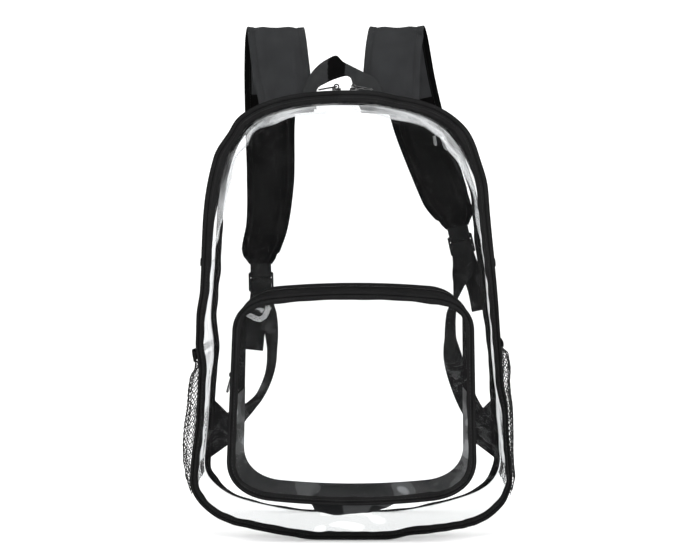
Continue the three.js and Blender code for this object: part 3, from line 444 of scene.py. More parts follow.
class Trace:
    # closed outline in X-Z, read by an index that grows anticlockwise from the base
    fine = 60

    def __init__(self, spans, shift=None):
        index, spots, start = [], [], 0
        for points, steps in spans:
            share = np.linspace(0, 1, steps * self.fine, endpoint=False)
            index.append(start + share * steps)
            spots.append(self.curve(np.array(points, float), share))
            start += steps
        half = np.concatenate(spots + [np.array(spans[-1][0][-1:], float)])
        halfIndex = np.concatenate(index + [[float(start)]])
        self.count = 2 * start
        self.index = np.concatenate([halfIndex, self.count - halfIndex[-2:0:-1]])
        self.spots = np.concatenate([half, half[-2:0:-1] * [-1, 1]])
        self.half = len(half)
        if shift:
            self.spots = shift(self.spots)
        self.turnInward()

    def turnInward(self):
        tangent = np.roll(self.spots, -1, 0) - np.roll(self.spots, 1, 0)
        tangent /= np.linalg.norm(tangent, axis=1, keepdims=True)
        self.inward = np.stack([-tangent[:, 1], tangent[:, 0]], axis=1)

    def leaning(self, lean):
        # the same outline, drawn out or in by height on either side
        made = copy.copy(self)
        right = np.arange(len(self.spots)) < self.half
        onRight, onLeft = (smoothTable(lean[side], self.spots[:, 1]) for side in ("right", "left"))
        out = np.where(right, onRight, onLeft)
        made.spots = self.spots - self.inward * out[:, None]
        made.turnInward()
        return made

    def curve(self, points, share):
        # straight, quadratic or cubic by the number of points
        share = share[:, None]
        while len(points) > 1:
            points = [a + (b - a) * share for a, b in zip(points[:-1], points[1:])]
        return points[0]

    def read(self, column, index):
        return np.interp(index, self.index, column, period=self.count)

    def at(self, index, inset=0.0):
        inward = [self.read(self.inward[:, axis], index) for axis in (0, 1)]
        length = np.hypot(*inward)
        return [self.read(self.spots[:, axis], index) + inset * inward[axis] / length for axis in (0, 1)]

    def indexAt(self, height):
        return np.interp(height, self.spots[:self.half, 1], self.index[:self.half])

    def around(self, samples):
        return np.linspace(0, self.count, samples, endpoint=False)


# Body of the bag, as the solids have it
bag = {
    "height": 430, "baseFlat": 28, "corner": (153, 60), "shoulder": (137, 317),
    "cornerPull": ((92, 0), (155, 22)), "archPull": ((134, 393), (112, 430)), "steps": (2, 8, 14, 11),
    "front": -75, "back": 75, "frontBow": 10, "frontPuff": 8, "backPuff": 2, "sideDip": 4,
    "seamHalf": 1.6, "sheetThick": 0.7, "seamGap": 0.4,
}
# dents in the front: x, z, spread, depth
frontDents = [(-86, 366, 36, 5), (108, 318, 30, 4), (64, 282, 42, 3), (-122, 214, 26, 3)]
# sag of the roof: profile by distance behind the front seam, span along the zip
roof = {
    "deepest": 18, "leanRight": 0.12,
    "profile": [(0, 0), (30, 0), (54, 0.62), (82, 1), (118, 0.8), (138, 0.5), (150, 0)],
    "span": [(0, 0), (0.1, 0.3), (0.28, 0.85), (0.5, 1), (0.7, 1), (0.88, 0.85), (0.96, 0.45), (1, 0)],
}
zipSize = {
    "endHeight": 270, "endTab": 8, "coilFrom": 24.5, "coilWide": 4.6, "rearEdge": 53, "tapeThick": 0.9,
    "underCoil": 2.0, "coilPitch": 1.5, "tapeCells": (220, 12), "tapeLift": 0.25,
}

# how far the two seams stand out from the even outline: height, distance
seamLean = {
    "front": {
        "right": [(0, 0), (1.5, -2.4), (5, -1), (9, 0.8), (14, 3.4), (18, 4.9), (24, 5.6), (34, 5.2),
                  (48, 3.6), (69, 2.9), (100, 2.6), (126, 3), (150, 0.4), (214, -0.3), (337, -3.8),
                  (368, -6.1), (402, -4.2), (427, -2.7), (430, 0)],
        "left": [(0, 0), (1.5, -1.6), (5, -1.8), (9, -1), (15, 1.2), (22, 2.2), (36, 2), (69, 1),
                 (115, -1.4), (160, -1.2), (190, 3.3), (215, 4), (240, 2), (306, 3), (367, 0),
                 (391, -2.8), (406, 0), (430, 0)],
    },
    "back": {
        "right": [(0, 0), (5, -0.8), (35, 4.6), (60, 3), (160, 3), (247, -0.9), (287, -4), (320, -4.6),
                  (368, -10.3), (394, -10.8), (410, -8), (421, -5), (430, 0)],
        "left": [(0, 0), (5, -0.5), (22, 1.9), (35, 1.4), (60, -2), (90, -3), (150, -3), (171, -4.2),
                 (209, 0.8), (258, -0.6), (310, 0), (370, -2), (420, -1.2), (430, 0)],
    },
}

outline = Trace([
    ([(0, 0), (bag["baseFlat"], 0)], bag["steps"][0]),
    ([(bag["baseFlat"], 0), *bag["cornerPull"], bag["corner"]], bag["steps"][1]),
    ([bag["corner"], bag["shoulder"]], bag["steps"][2]),
    ([bag["shoulder"], *bag["archPull"], (0, bag["height"])], bag["steps"][3]),
])
frontOutline = outline.leaning(seamLean["front"])
backOutline = outline.leaning(seamLean["back"])
cornerIndex = outline.indexAt(bag["corner"][1])
zipEndIndex = outline.indexAt(zipSize["endHeight"])
tabEndIndex = outline.indexAt(zipSize["endHeight"] - zipSize["endTab"])


def halfWidth(z):
    return outline.at(outline.indexAt(np.clip(z, 1, bag["height"] - 1)))[0]


def frontSeam(x, z):
    middle = np.maximum(1 - (x / bag["corner"][0]) ** 2, 0)
    return bag["front"] - bag["frontBow"] * middle * (1 - z / bag["height"])


def frontSheet(x, z):
    side = 1 - (x / halfWidth(z)) ** 2
    swell = np.maximum(side * (1 - (2 * z / bag["height"] - 1) ** 4), 0)
    dents = sum(
        deep * np.exp(-((x - dentX) ** 2 + (z - dentZ) ** 2) / spread ** 2)
        for dentX, dentZ, spread, deep in frontDents
    )
    return frontSeam(x, z) - bag["frontPuff"] * swell + dents * smoothStep(swell, 0, 0.5)


def roofDrop(index, depth):
    along = np.clip((index - zipEndIndex) / (outline.count - 2 * zipEndIndex), 0, 1)
    lean = 1 + roof["leanRight"] * outline.at(index)[0] / bag["shoulder"][0]
    share = smoothTable(roof["profile"], depth - bag["front"])
    return roof["deepest"] * lean * share * smoothTable(roof["span"], along)


def betweenSeams(spot, index, depth):
    # takes a spot of the even outline to its place between the two seams
    through = np.clip((np.asarray(depth, float) - bag["front"]) / (bag["back"] - bag["front"]), 0, 1)
    traces = zip(spot, outline.at(index), frontOutline.at(index), backOutline.at(index))
    x, z = (
        own + (front - even) * (1 - through) + (back - even) * through for own, even, front, back in traces
    )
    return onWall(x, depth, z)


def sideDip(index, depth):
    mirrored = np.minimum(index % outline.count, outline.count - index % outline.count)
    up = np.clip((mirrored - cornerIndex) / (tabEndIndex - cornerIndex), 0, 1)
    through = np.clip((depth - bag["front"]) / (bag["back"] - bag["front"]), 0, 1)
    return bag["sideDip"] * np.sin(math.pi * up) * np.sin(math.pi * through)


def onWall(x, depth, z):
    return np.stack(np.broadcast_arrays(x, depth, z), axis=-1)


def bodyWall(index, depth, lift=0.0):
    spot = outline.at(index, roofDrop(index, depth) + sideDip(index, depth) - lift)
    return betweenSeams(spot, index, depth)


def plainWall(index, depth, lift=0.0):
    return betweenSeams(outline.at(index, -np.asarray(lift)), index, depth)


def behindSeam(offset):
    def depth(index):
        return frontSeam(*frontOutline.at(index)) + offset
    return depth


def atBack(index):
    return np.full_like(np.asarray(index, float), bag["back"] - bag["seamGap"])


def wallStrip(wall, ends, edges, counts, lift):
    # points of a strip between two indices and two depths
    index = np.linspace(*ends, counts[0])[:, None]
    share = np.linspace(0, 1, counts[1])[None, :]
    near, far = (edge(index) for edge in edges)
    along = np.broadcast_to((index - ends[0]) / (ends[1] - ends[0]), (counts[0], counts[1]))
    return wall(index, near + (far - near) * share, lift(along, np.broadcast_to(share, along.shape)))


def wallShell(wall, ends, edges, counts, thick, lift=None):
    lift = lift or (lambda along, share: 0.0)
    outer = wallStrip(wall, ends, edges, counts, lift)
    inner = wallStrip(wall, ends, edges, counts, lambda along, share: lift(along, share) - thick)
    return Mould().shell(outer, inner)


def leftOf(index):
    return outline.count - index


# Widths of the two bindings as the front shows them
bindingCut = {"front": 8, "archMore": 3, "curledAway": 2.2, "back": 6.5, "backUnder": 2.2}


def bindingWide(z, x):
    # wider over the arch, curled back low on the right
    curled = smoothStep(x, 90, 130) * smoothStep(z, 25, 60) * (1 - smoothStep(z, 110, 150))
    arch = bindingCut["archMore"] * smoothStep(z, 180, 330)
    return bindingCut["front"] + arch - bindingCut["curledAway"] * curled


def backWide(z, x):
    # turned under where the bag stands
    under = bindingCut["backUnder"]
    return under + (bindingCut["back"] - under) * smoothStep(z, 14, 34)


# Clear sheets of the front and back, tucked into the bindings
sheetCut = {"rings": 44, "around": 260, "tuck": 4, "leastInset": 0.8, "ripple": 0.55, "rippleSize": 46}
creases = [  # x, z to x, z, half width, depth: folds that run in from the bound edge
    (-112, 372, -52, 398, 5, 1.6), (-118, 352, -74, 388, 4, 1.3), (-96, 392, -40, 410, 4, 1.2),
    (126, 330, 114, 236, 4, 1.5), (118, 352, 96, 300, 5, 1.4), (130, 300, 122, 190, 3.5, 1.2),
    (60, 408, 112, 372, 4, 1.3), (20, 415, 86, 396, 4, 1.0), (-132, 300, -128, 180, 4, 1.0),
    (-110, 34, -30, 22, 5, 1.2), (20, 20, 116, 40, 5, 1.3), (-60, 300, -20, 262, 7, 0.8),
]


def creaseDepth(x, z):
    total = 0.0
    for x0, z0, x1, z1, half, deep in creases:
        run = np.array([x1 - x0, z1 - z0], float)
        share = np.clip(((x - x0) * run[0] + (z - z0) * run[1]) / (run @ run), 0, 1)
        away = np.hypot(x - x0 - share * run[0], z - z0 - share * run[1])
        total = total + deep * np.exp(-(away / half) ** 2) * np.sin(math.pi * (0.15 + 0.7 * share))
    return total


def domeGrid(rimX, rimZ, hub, rings):
    share = np.linspace(0, 1, rings)[:, None] ** 0.8
    return hub[0] + (rimX - hub[0]) * share, hub[1] + (rimZ - hub[1]) * share, share


def spreadSheet(name, node, rim, hub, rings, depthAt, film):
    # a sheet domed from its hub to its rim
    rimX, rimZ = rim
    x, z, share = domeGrid(rimX, rimZ, hub, rings)
    depth = depthAt(x, z, share)
    mould = Mould().shell(onWall(x, depth, z), onWall(x, depth + bag["sheetThick"], z), ring=True)
    piece = settle(mould.build(name, [film]), "clear_pvc", node)
    area = 0.5 * abs(np.sum(rimX * np.roll(rimZ, -1) - np.roll(rimX, -1) * rimZ)) * mm * mm
    size = ((rimX.max() - rimX.min()) * mm, (rimZ.max() - rimZ.min()) * mm)


def frontDepth(x, z, share):
    wave = sheetCut["ripple"] * softNoise(x, z, sheetCut["rippleSize"], 3)
    return frontSheet(x, z) + (wave + creaseDepth(x, z)) * (1 - share ** 6)


def backDepth(x, z, share):
    wave = sheetCut["ripple"] * softNoise(x, z, sheetCut["rippleSize"] * 1.4, 8)
    return bag["back"] + bag["backPuff"] * (1 - share ** 2) + wave * (1 - share ** 6)


def makeSheets():
    cut = sheetCut
    index = outline.around(cut["around"])
    hub = (0, bag["height"] / 2)
    rim = frontOutline.at(index, bindingWide(*frontOutline.at(index)[::-1]) - cut["tuck"])
    spreadSheet("front_sheet", "front_panel", rim, hub, cut["rings"], frontDepth, frontPvc)
    inset = backWide(*backOutline.at(index)[::-1]) - cut["tuck"]
    rim = backOutline.at(index, np.maximum(inset, cut["leastInset"]))
    spreadSheet("back_sheet", "back_panel", rim, hub, cut["rings"], backDepth, clearPvc)


makeSheets()

# Clear gussets: sides, base and the sagging roof
gussetCut = {"side": (90, 34), "base": (130, 30), "roof": (190, 34), "wide": 150, "roofWide": 100,
             "seen": 146, "underZip": 5, "ripple": 0.8, "baseRipple": 0.12, "roofRipple": 1.5}


def gussetRipple(amount, size, seed, longMm):
    def lift(along, share):
        edge = np.sin(math.pi * np.clip(share, 0, 1)) ** 0.7
        return amount * softNoise(along * longMm, share * gussetCut["seen"], size, seed) * edge
    return lift


def makeGussets():
    cut = gussetCut
    full = (behindSeam(bag["seamGap"]), atBack)
    behindZip = (behindSeam(zipSize["rearEdge"] - cut["underZip"]), atBack)
    rows = [  # name, ends, edges, cells, ripple by height, size, seed and length, side
        ("gusset_base", (-cornerIndex - 0.06, cornerIndex + 0.06), full, cut["base"],
         (cut["baseRipple"], 60, 11, 390), "bottom"),
        ("gusset_right_side", (cornerIndex, tabEndIndex + 0.1), full, cut["side"],
         (cut["ripple"], 52, 12, 205), "right"),
        ("gusset_left_side", (leftOf(tabEndIndex) - 0.1, leftOf(cornerIndex)), full, cut["side"],
         (cut["ripple"], 52, 13, 205), "left"),
        ("gusset_roof", (tabEndIndex, leftOf(tabEndIndex)), behindZip, cut["roof"],
         (cut["roofRipple"], 58, 14, 560), "top"),
    ]
    for name, ends, edges, counts, ripple, side in rows:
        mould = wallShell(bodyWall, ends, edges, counts, bag["sheetThick"], gussetRipple(*ripple))
        film = {"bottom": basePvc, "top": roofPvc}.get(side, gussetPvc)
        piece = settle(mould.build(name, [film]), "clear_pvc", "gusset_" + side)
        size = (cut["roofWide" if side == "top" else "wide"] * mm, ripple[3] * mm)


makeGussets()
print("clear sheets ready")

# Folded binding tape: a corded outer edge, a groove and a flat inner strip
bindingLook = {"around": 420, "stepLong": 26.0, "wobble": 0.35, "wobbleSize": 34, "sway": 0.25}
bindingSection = [  # from the outer edge inwards: share of the width, half thickness
    (0.0, 0.25), (0.03, 0.8), (0.09, 1.35), (0.17, 1.65), (0.26, 1.55), (0.335, 1.1), (0.365, 0.45),
    (0.385, 0.15), (0.405, 0.45), (0.44, 1.1), (0.54, 1.36), (0.68, 1.36), (0.84, 1.22), (0.94, 0.95),
    (0.985, 0.6), (1.0, 0.2),
]


def bindingRings(trace, wide, depth, seed):
    look = bindingLook
    index = trace.around(look["around"])
    edgeX, edgeZ = trace.at(index)
    run = index * look["stepLong"]
    slack = look["wobble"] * softNoise(run, run * 0, look["wobbleSize"], seed)
    lift = look["sway"] * softNoise(run, run * 0, look["wobbleSize"] * 1.7, seed + 1)
    shares, halves = np.array(bindingSection).T
    section = np.concatenate([[shares, -halves], [shares[::-1], halves[::-1]]], axis=1).T
    rings = []
    for share, half in section:
        inset = share * (wide(edgeZ, edgeX) + (slack if share > 0.5 else 0))
        x, z = trace.at(index, inset)
        rings.append(onWall(x, depth(edgeX, edgeZ) + half + lift * np.sin(math.pi * share) * 0.6, z))
    return np.stack(rings, axis=1)


def evenly(value):
    return lambda first, second: value + 0 * first


def makeBindings():
    rows = [
        ("front_binding", frontOutline, bindingWide, frontSeam, 21, "binding_front"),
        ("back_binding", backOutline, backWide, evenly(bag["back"]), 23, "binding_back"),
    ]
    for name, trace, wide, depth, seed, node in rows:
        mould = Mould().tube(bindingRings(trace, wide, depth, seed), loop=True)
        settle(mould.build(name, [tapeCloth], 80), "bound_fabric", node)


makeBindings()
print("bindings ready")

# Front pocket
pocketFace = {"centre": 1, "lean": 2.5, "bottom": 40, "top": 241, "halfBottom": 117, "halfTop": 113,
              "cornerBottom": 42, "cornerTop": 38, "sag": 4, "crown": 4}
pocketSewn = {"centre": 3.3, "lean": 1, "bottom": 54, "top": 247, "halfBottom": 106, "halfTop": 104,
              "cornerBottom": 36, "cornerTop": 34, "sag": 3, "crown": 3}
pocket = {
    "depth": -126, "puff": 7, "bindingWide": 8, "cloth": 1.2, "standOff": 0.4, "sewnIn": 0.6, "zipEnd": 138,
    "rearEdge": 0.44, "frontEdge": 0.56, "underCoil": 0.052,
    "cornerPull": 0.45, "sagPull": 1.6, "crownPull": 1.4, "steps": (3, 6, 5, 6, 3),
    "ripple": 0.6, "rippleSize": 60, "faceRings": 36, "faceAround": 220, "tapeCells": (170, 10),
    "wallRipple": 0.5, "wallRippleSize": 38, "wallLong": 500, "wallDeep": 42, "wallCells": (190, 22),
}


def pocketTrace(size):
    pull = pocket["cornerPull"]
    low, high = size["bottom"], size["top"]
    wideLow, wideHigh = size["halfBottom"], size["halfTop"]
    turnLow, turnHigh = size["cornerBottom"], size["cornerTop"]
    base, side = (wideLow - turnLow, low + size["sag"]), (wideLow, low + turnLow)
    shoulder, crown = (wideHigh, high - turnHigh), (wideHigh - turnHigh, high - size["crown"])
    spans = [
        [(0, low), ((wideLow - turnLow) / 2, low), base],
        [base, (wideLow - turnLow * pull, low + size["sag"] * pocket["sagPull"]),
         (wideLow, low + turnLow * pull), side],
        [side, shoulder],
        [shoulder, (wideHigh, high - turnHigh * pull),
         (wideHigh - turnHigh * pull, high - size["crown"] * pocket["crownPull"]), crown],
        [crown, ((wideHigh - turnHigh) / 2, high), (0, high)],
    ]

    def shift(spots):
        rise = (spots[:, 1] - low) / (high - low)
        return np.stack([spots[:, 0] + size["centre"] + size["lean"] * rise, spots[:, 1]], axis=1)

    return Trace(list(zip(spans, pocket["steps"])), shift)


faceTrace = pocketTrace(pocketFace)
sewnTrace = pocketTrace(pocketSewn)
gussetFront = pocket["depth"] + bag["seamHalf"] - pocket["sewnIn"]
pocketZipIndex = faceTrace.indexAt(pocket["zipEnd"])


def pocketWall(index, share, lift=0.0):
    sewnX, sewnZ = sewnTrace.at(index, -np.asarray(lift))
    faceX, faceZ = faceTrace.at(index, -np.asarray(lift))
    root = frontSheet(*sewnTrace.at(index)) - pocket["standOff"]
    ends = ((sewnX, faceX), (root, gussetFront), (sewnZ, faceZ))
    return onWall(*(sewn + (face - sewn) * share for sewn, face in ends))


def level(value):
    return lambda index: np.full_like(np.asarray(index, float), value)


def pocketDepth(x, z, share):
    wave = pocket["ripple"] * softNoise(x, z, pocket["rippleSize"], 31) * (1 - share ** 6)
    return pocket["depth"] - pocket["puff"] * (1 - share ** 2) + wave


# the wall hangs in a fold under the middle of the pocket: share of its length, fall
wallFold = [
    (0.43, 0), (0.44, 12.5), (0.476, 14.8), (0.5, 14), (0.524, 12.4), (0.539, 10.8), (0.554, 8.4),
    (0.585, 0),
]


def wallLift(along, share):
    wave = softNoise(along * pocket["wallLong"], share * pocket["wallDeep"], pocket["wallRippleSize"], 35)
    fold = smoothTable(wallFold, along) * np.sin(math.pi * np.clip(share, 0, 1) ** 2)
    return pocket["wallRipple"] * wave * np.sin(math.pi * share) + fold


def makePocket():
    rim = faceTrace.at(faceTrace.around(pocket["faceAround"]), pocket["bindingWide"] - sheetCut["tuck"])
    hub = (pocketFace["centre"], (pocketFace["bottom"] + pocketFace["top"]) / 2)
    rings = pocket["faceRings"]
    spreadSheet("pocket_sheet", "pocket_face", rim, hub, rings, pocketDepth, pocketPvc)
    rings = bindingRings(faceTrace, evenly(pocket["bindingWide"]), evenly(pocket["depth"]), 27)
    tape = Mould().tube(rings, loop=True)
    settle(tape.build("pocket_binding_tape", [tapeCloth], 80), "bound_fabric", "pocket_binding")
    ends = (-pocketZipIndex, pocketZipIndex)
    edges = (level(0), level(1))
    cloth = wallShell(pocketWall, ends, edges, pocket["wallCells"], pocket["cloth"], wallLift)
    settle(cloth.build("pocket_wall", [coatedCloth]), "bound_fabric", "pocket_gusset")
    zipEnds = (pocketZipIndex, faceTrace.count - pocketZipIndex)
    rearTo, frontFrom = pocket["rearEdge"] + pocket["underCoil"], pocket["frontEdge"] - pocket["underCoil"]
    for name, edges, node in (
        ("pocket_tape_rear", (level(0), level(rearTo)), "pocket_zip_rear"),
        ("pocket_tape_front", (level(frontFrom), level(1)), "pocket_zip_front"),
    ):
        tape = wallShell(pocketWall, zipEnds, edges, pocket["tapeCells"], zipSize["tapeThick"])
        settle(tape.build(name, [tapeCloth]), "bound_fabric", node)


makePocket()
print("pocket ready")

# Main zip tapes and end tabs
tabCut = {"cells": (14, 40), "thick": 1.4, "swell": 0.5, "past": 1}


def tabLift(along, share):
    return tabCut["swell"] + tabCut["swell"] * np.sin(math.pi * along) ** 0.5


def makeTapes():
    ends = (zipEndIndex, leftOf(zipEndIndex))
    lap = zipSize["underCoil"]
    coilFrom, coilTo = zipSize["coilFrom"], zipSize["coilFrom"] + zipSize["coilWide"]
    for name, edges, node in (
        ("tape_front", (behindSeam(bag["seamGap"]), behindSeam(coilFrom + lap)), "zip_tape_front"),
        ("tape_rear", (behindSeam(coilTo - lap), behindSeam(zipSize["rearEdge"])), "zip_tape_rear"),
    ):
        tape = wallShell(bodyWall, ends, edges, zipSize["tapeCells"], zipSize["tapeThick"],
                         lambda along, share: zipSize["tapeLift"])
        settle(tape.build(name, [tapeCloth]), "bound_fabric", node)
    edges = (behindSeam(0.6), behindSeam(zipSize["rearEdge"] + tabCut["past"]))
    for name, ends in (
        ("zip_tab_right", (tabEndIndex, zipEndIndex)),
        ("zip_tab_left", (leftOf(zipEndIndex), leftOf(tabEndIndex))),
    ):
        tab = wallShell(bodyWall, ends, edges, tabCut["cells"], tabCut["thick"], tabLift)
        settle(tab.build(name, [tapeCloth]), "bound_fabric", name.replace("tab", "end"))


makeTapes()
print("zip tapes ready")


def nodesTree(name, inputs):
    tree = bpy.data.node_groups.new(name, "GeometryNodeTree")
    tree.interface.new_socket("Geometry", in_out="INPUT", socket_type="NodeSocketGeometry")
    for label, kind in inputs:
        tree.interface.new_socket(label, in_out="INPUT", socket_type="NodeSocket" + kind)
    tree.interface.new_socket("Geometry", in_out="OUTPUT", socket_type="NodeSocketGeometry")
    graph = Graph(tree)
    source = tree.nodes.new("NodeGroupInput")
    wires = {socket.name: Wire(graph, socket) for socket in source.outputs if socket.name}
    return tree, graph, wires


def closeTree(graph, geometry, material):
    smooth = graph.node("GeometryNodeSetShadeSmooth", None, {"Geometry": geometry})
    real = graph.node("GeometryNodeRealizeInstances", None, {"Geometry": smooth})
    painted = graph.node("GeometryNodeSetMaterial", None, {"Geometry": real, "Material": material})
    graph.node("NodeGroupOutput", None, {0: painted})


def longBead(graph, segments, rings, sizes):
    ball = graph.node("GeometryNodeMeshUVSphere", None, {
        "Segments": segments, "Rings": rings, "Radius": 1.0,
    })
    size = graph.node("ShaderNodeCombineXYZ", None, dict(enumerate(sizes)))
    return graph.node("GeometryNodeTransform", None, {"Geometry": ball, "Scale": size})


def headingTurn(graph):
    heading = graph.node("GeometryNodeInputTangent")
    return graph.node("FunctionNodeAlignRotationToVector", {"axis": "X"}, {"Vector": heading})


def layAlong(graph, given, bead, turn):
    path = graph.node("GeometryNodeMeshToCurve", None, {"Mesh": given["Geometry"]})
    spaced = graph.node("GeometryNodeResampleCurve", {"mode": "LENGTH"}, {
        "Curve": path, "Length": given["Pitch"],
    })
    laid = graph.node("GeometryNodeInstanceOnPoints", None, {
        "Points": spaced, "Instance": bead, "Rotation": turn,
    })
    closeTree(graph, laid, given["Material"])


def stitchTree():
    # thread beads laid end to end along each path
    tree, graph, given = nodesTree("stitches", [
        ("Pitch", "Float"), ("Long", "Float"), ("Thread", "Float"), ("Material", "Material"),
    ])
    bead = longBead(graph, 6, 4, (given["Long"] * 0.5, given["Thread"], given["Thread"]))
    layAlong(graph, given, bead, headingTurn(graph))
    return tree


def coilTree():
    # zip teeth across the path: out is the way they face
    tree, graph, given = nodesTree("zip_teeth", [
        ("Pitch", "Float"), ("Long", "Float"), ("Thick", "Float"), ("Material", "Material"),
    ])
    tooth = longBead(graph, 8, 5, (given["Thick"] * 0.5, given["Long"] * 0.5, given["Thick"] * 0.75))
    out = graph.node("GeometryNodeInputNamedAttribute", {"data_type": "FLOAT_VECTOR"}, {"Name": "out"})
    turn = graph.node("FunctionNodeAlignRotationToVector", {"axis": "Z", "pivot_axis": "X"}, {
        "Rotation": headingTurn(graph), "Vector": out,
    })
    layAlong(graph, given, tooth, turn)
    return tree


def netTree():
    # round strands along each path
    tree, graph, given = nodesTree("net_strands", [("Radius", "Float"), ("Material", "Material")])
    path = graph.node("GeometryNodeMeshToCurve", None, {"Mesh": given["Geometry"]})
    ring = graph.node("GeometryNodeCurvePrimitiveCircle", {"mode": "RADIUS"}, {
        "Resolution": 4, "Radius": given["Radius"],
    })
    strand = graph.node("GeometryNodeCurveToMesh", None, {
        "Curve": path, "Profile Curve": ring, "Fill Caps": True,
    })
    closeTree(graph, strand, given["Material"])
    return tree


def grow(name, tree, values, paths, closed=False, outs=None):
    # runs a node tree on paths in millimetres and keeps the result as a plain mesh
    points, edges = [], []
    for path in paths:
        first = len(points)
        points += (np.asarray(path) * mm).tolist()
        edges += [(first + step, first + step + 1) for step in range(len(path) - 1)]
        if closed:
            edges.append((len(points) - 1, first))
    seed = bpy.data.meshes.new(name + "_path")
    seed.from_pydata(points, edges, [])
    if outs is not None:
        facing = seed.attributes.new("out", "FLOAT_VECTOR", "POINT")
        facing.data.foreach_set("vector", np.concatenate(outs).astype(np.float32).ravel())
    made = bpy.data.objects.new(name, seed)
    scene.collection.objects.link(made)
    modifier = made.modifiers.new("grow", "NODES")
    modifier.node_group = tree
    for item in tree.interface.items_tree:
        if item.in_out == "INPUT" and item.name in values:
            modifier[item.identifier] = values[item.name]
    bpy.context.view_layer.update()
    result = bpy.data.meshes.new_from_object(made.evaluated_get(bpy.context.evaluated_depsgraph_get()))
    made.modifiers.remove(modifier)
    made.data = result
    result.name = name
    bpy.data.meshes.remove(seed)
    return made


stitchNodes = stitchTree()
coilNodes = coilTree()
netNodes = netTree()

stitch = {"Pitch": 3.4 * mm, "Long": 2.6 * mm, "Thread": 0.28 * mm, "Material": thread}
fineStitch = {**stitch, "Pitch": 2.7 * mm, "Long": 2.0 * mm, "Thread": 0.24 * mm}


# Zip coils: two rows of teeth that meet along the middle
coil = {"apart": 0.95, "long": 3.2, "thick": 1.05, "endGap": 0.05, "samples": 500}


def coilPaths(wall, ends, depth, rise):
    index = np.linspace(ends[0] + coil["endGap"], ends[1] - coil["endGap"], coil["samples"])
    middle = wall(index, depth(index), rise)
    out = wall(index, depth(index), rise + 1.0) - middle
    out /= np.linalg.norm(out, axis=1, keepdims=True)
    heading = np.gradient(middle, axis=0)
    heading /= np.linalg.norm(heading, axis=1, keepdims=True)
    across = np.cross(out, heading)
    stagger = zipSize["coilPitch"] / 4
    rows = [middle + across * coil["apart"] * side + heading * (stagger * side) for side in (-1, 1)]
    return rows, [out, out]


def makeCoils():
    teeth = {"Pitch": zipSize["coilPitch"] * mm, "Long": coil["long"] * mm, "Thick": coil["thick"] * mm,
             "Material": nylon}
    middle = behindSeam(zipSize["coilFrom"] + zipSize["coilWide"] / 2)
    rows, outs = coilPaths(bodyWall, (zipEndIndex, leftOf(zipEndIndex)), middle, 0.35)
    settle(grow("main_coil", coilNodes, teeth, rows, outs=outs), "black_nylon", "zip_coil")
    middle = level((pocket["rearEdge"] + pocket["frontEdge"]) / 2)
    rows, outs = coilPaths(pocketWall, (pocketZipIndex, faceTrace.count - pocketZipIndex), middle, 0.3)
    settle(grow("pocket_coil", coilNodes, teeth, rows, outs=outs), "black_nylon", "pocket_zip_coil")


makeCoils()
print("zip coils ready")

# Net side pockets and their elastic rims: shares go up the net, or from the front seam to the back
net = {
    "foot": 44, "clear": 1.4, "cellUp": 5.2, "cellDeep": 9.5, "strand": 0.35, "apart": 0.12,
    "waver": 0.5, "waverSize": 30, "waverTall": 126, "rimThick": 1.6, "rimCells": (9, 220),
    "rimProud": 0.6, "gather": 0.35, "gatherPitch": 4.2, "drawIn": 0.45,
    "across": [(0, 0), (0.06, 0.45), (0.14, 0.85), (0.23, 1), (0.36, 0.86), (0.56, 0.5), (0.8, 0.2), (1, 0)],
    "right": {
        "mouth": 185, "rimTop": 190, "closing": 0.93, "flare": 0,
        "bulge": [(0, 0.3), (0.06, 2.2), (0.124, 3.6), (0.266, 4.4), (0.4, 5.2), (0.634, 5.9),
                  (0.73, 6.8), (0.84, 8), (0.93, 7.4), (1, 5)],
        "mouthLift": [(0, 0.3), (0.2, 0.8), (1, 0)],
    },
    "left": {
        "mouth": 170, "rimTop": 180, "closing": 0.85, "flare": 0.5,
        "bulge": [(0, 1.5), (0.08, 3.6), (0.15, 6.3), (0.25, 10.2), (0.37, 11.7), (0.52, 12.2),
                  (0.72, 11.3), (0.87, 9.6), (1, 5.1)],
        "mouthLift": [(0, 0.5), (0.05, 3), (0.16, 4), (0.3, 2.6), (0.5, 0.8), (1, 0)],
    },
}


def netLift(side, rise, share):
    share = np.clip(share, 0, 1)
    bulge = smoothTable(net[side]["bulge"], rise) * smoothTable(net["across"], share)
    tight = smoothStep(rise, net[side]["closing"], 1.0)
    return net["clear"] + bulge + (smoothTable(net[side]["mouthLift"], share) - bulge) * tight


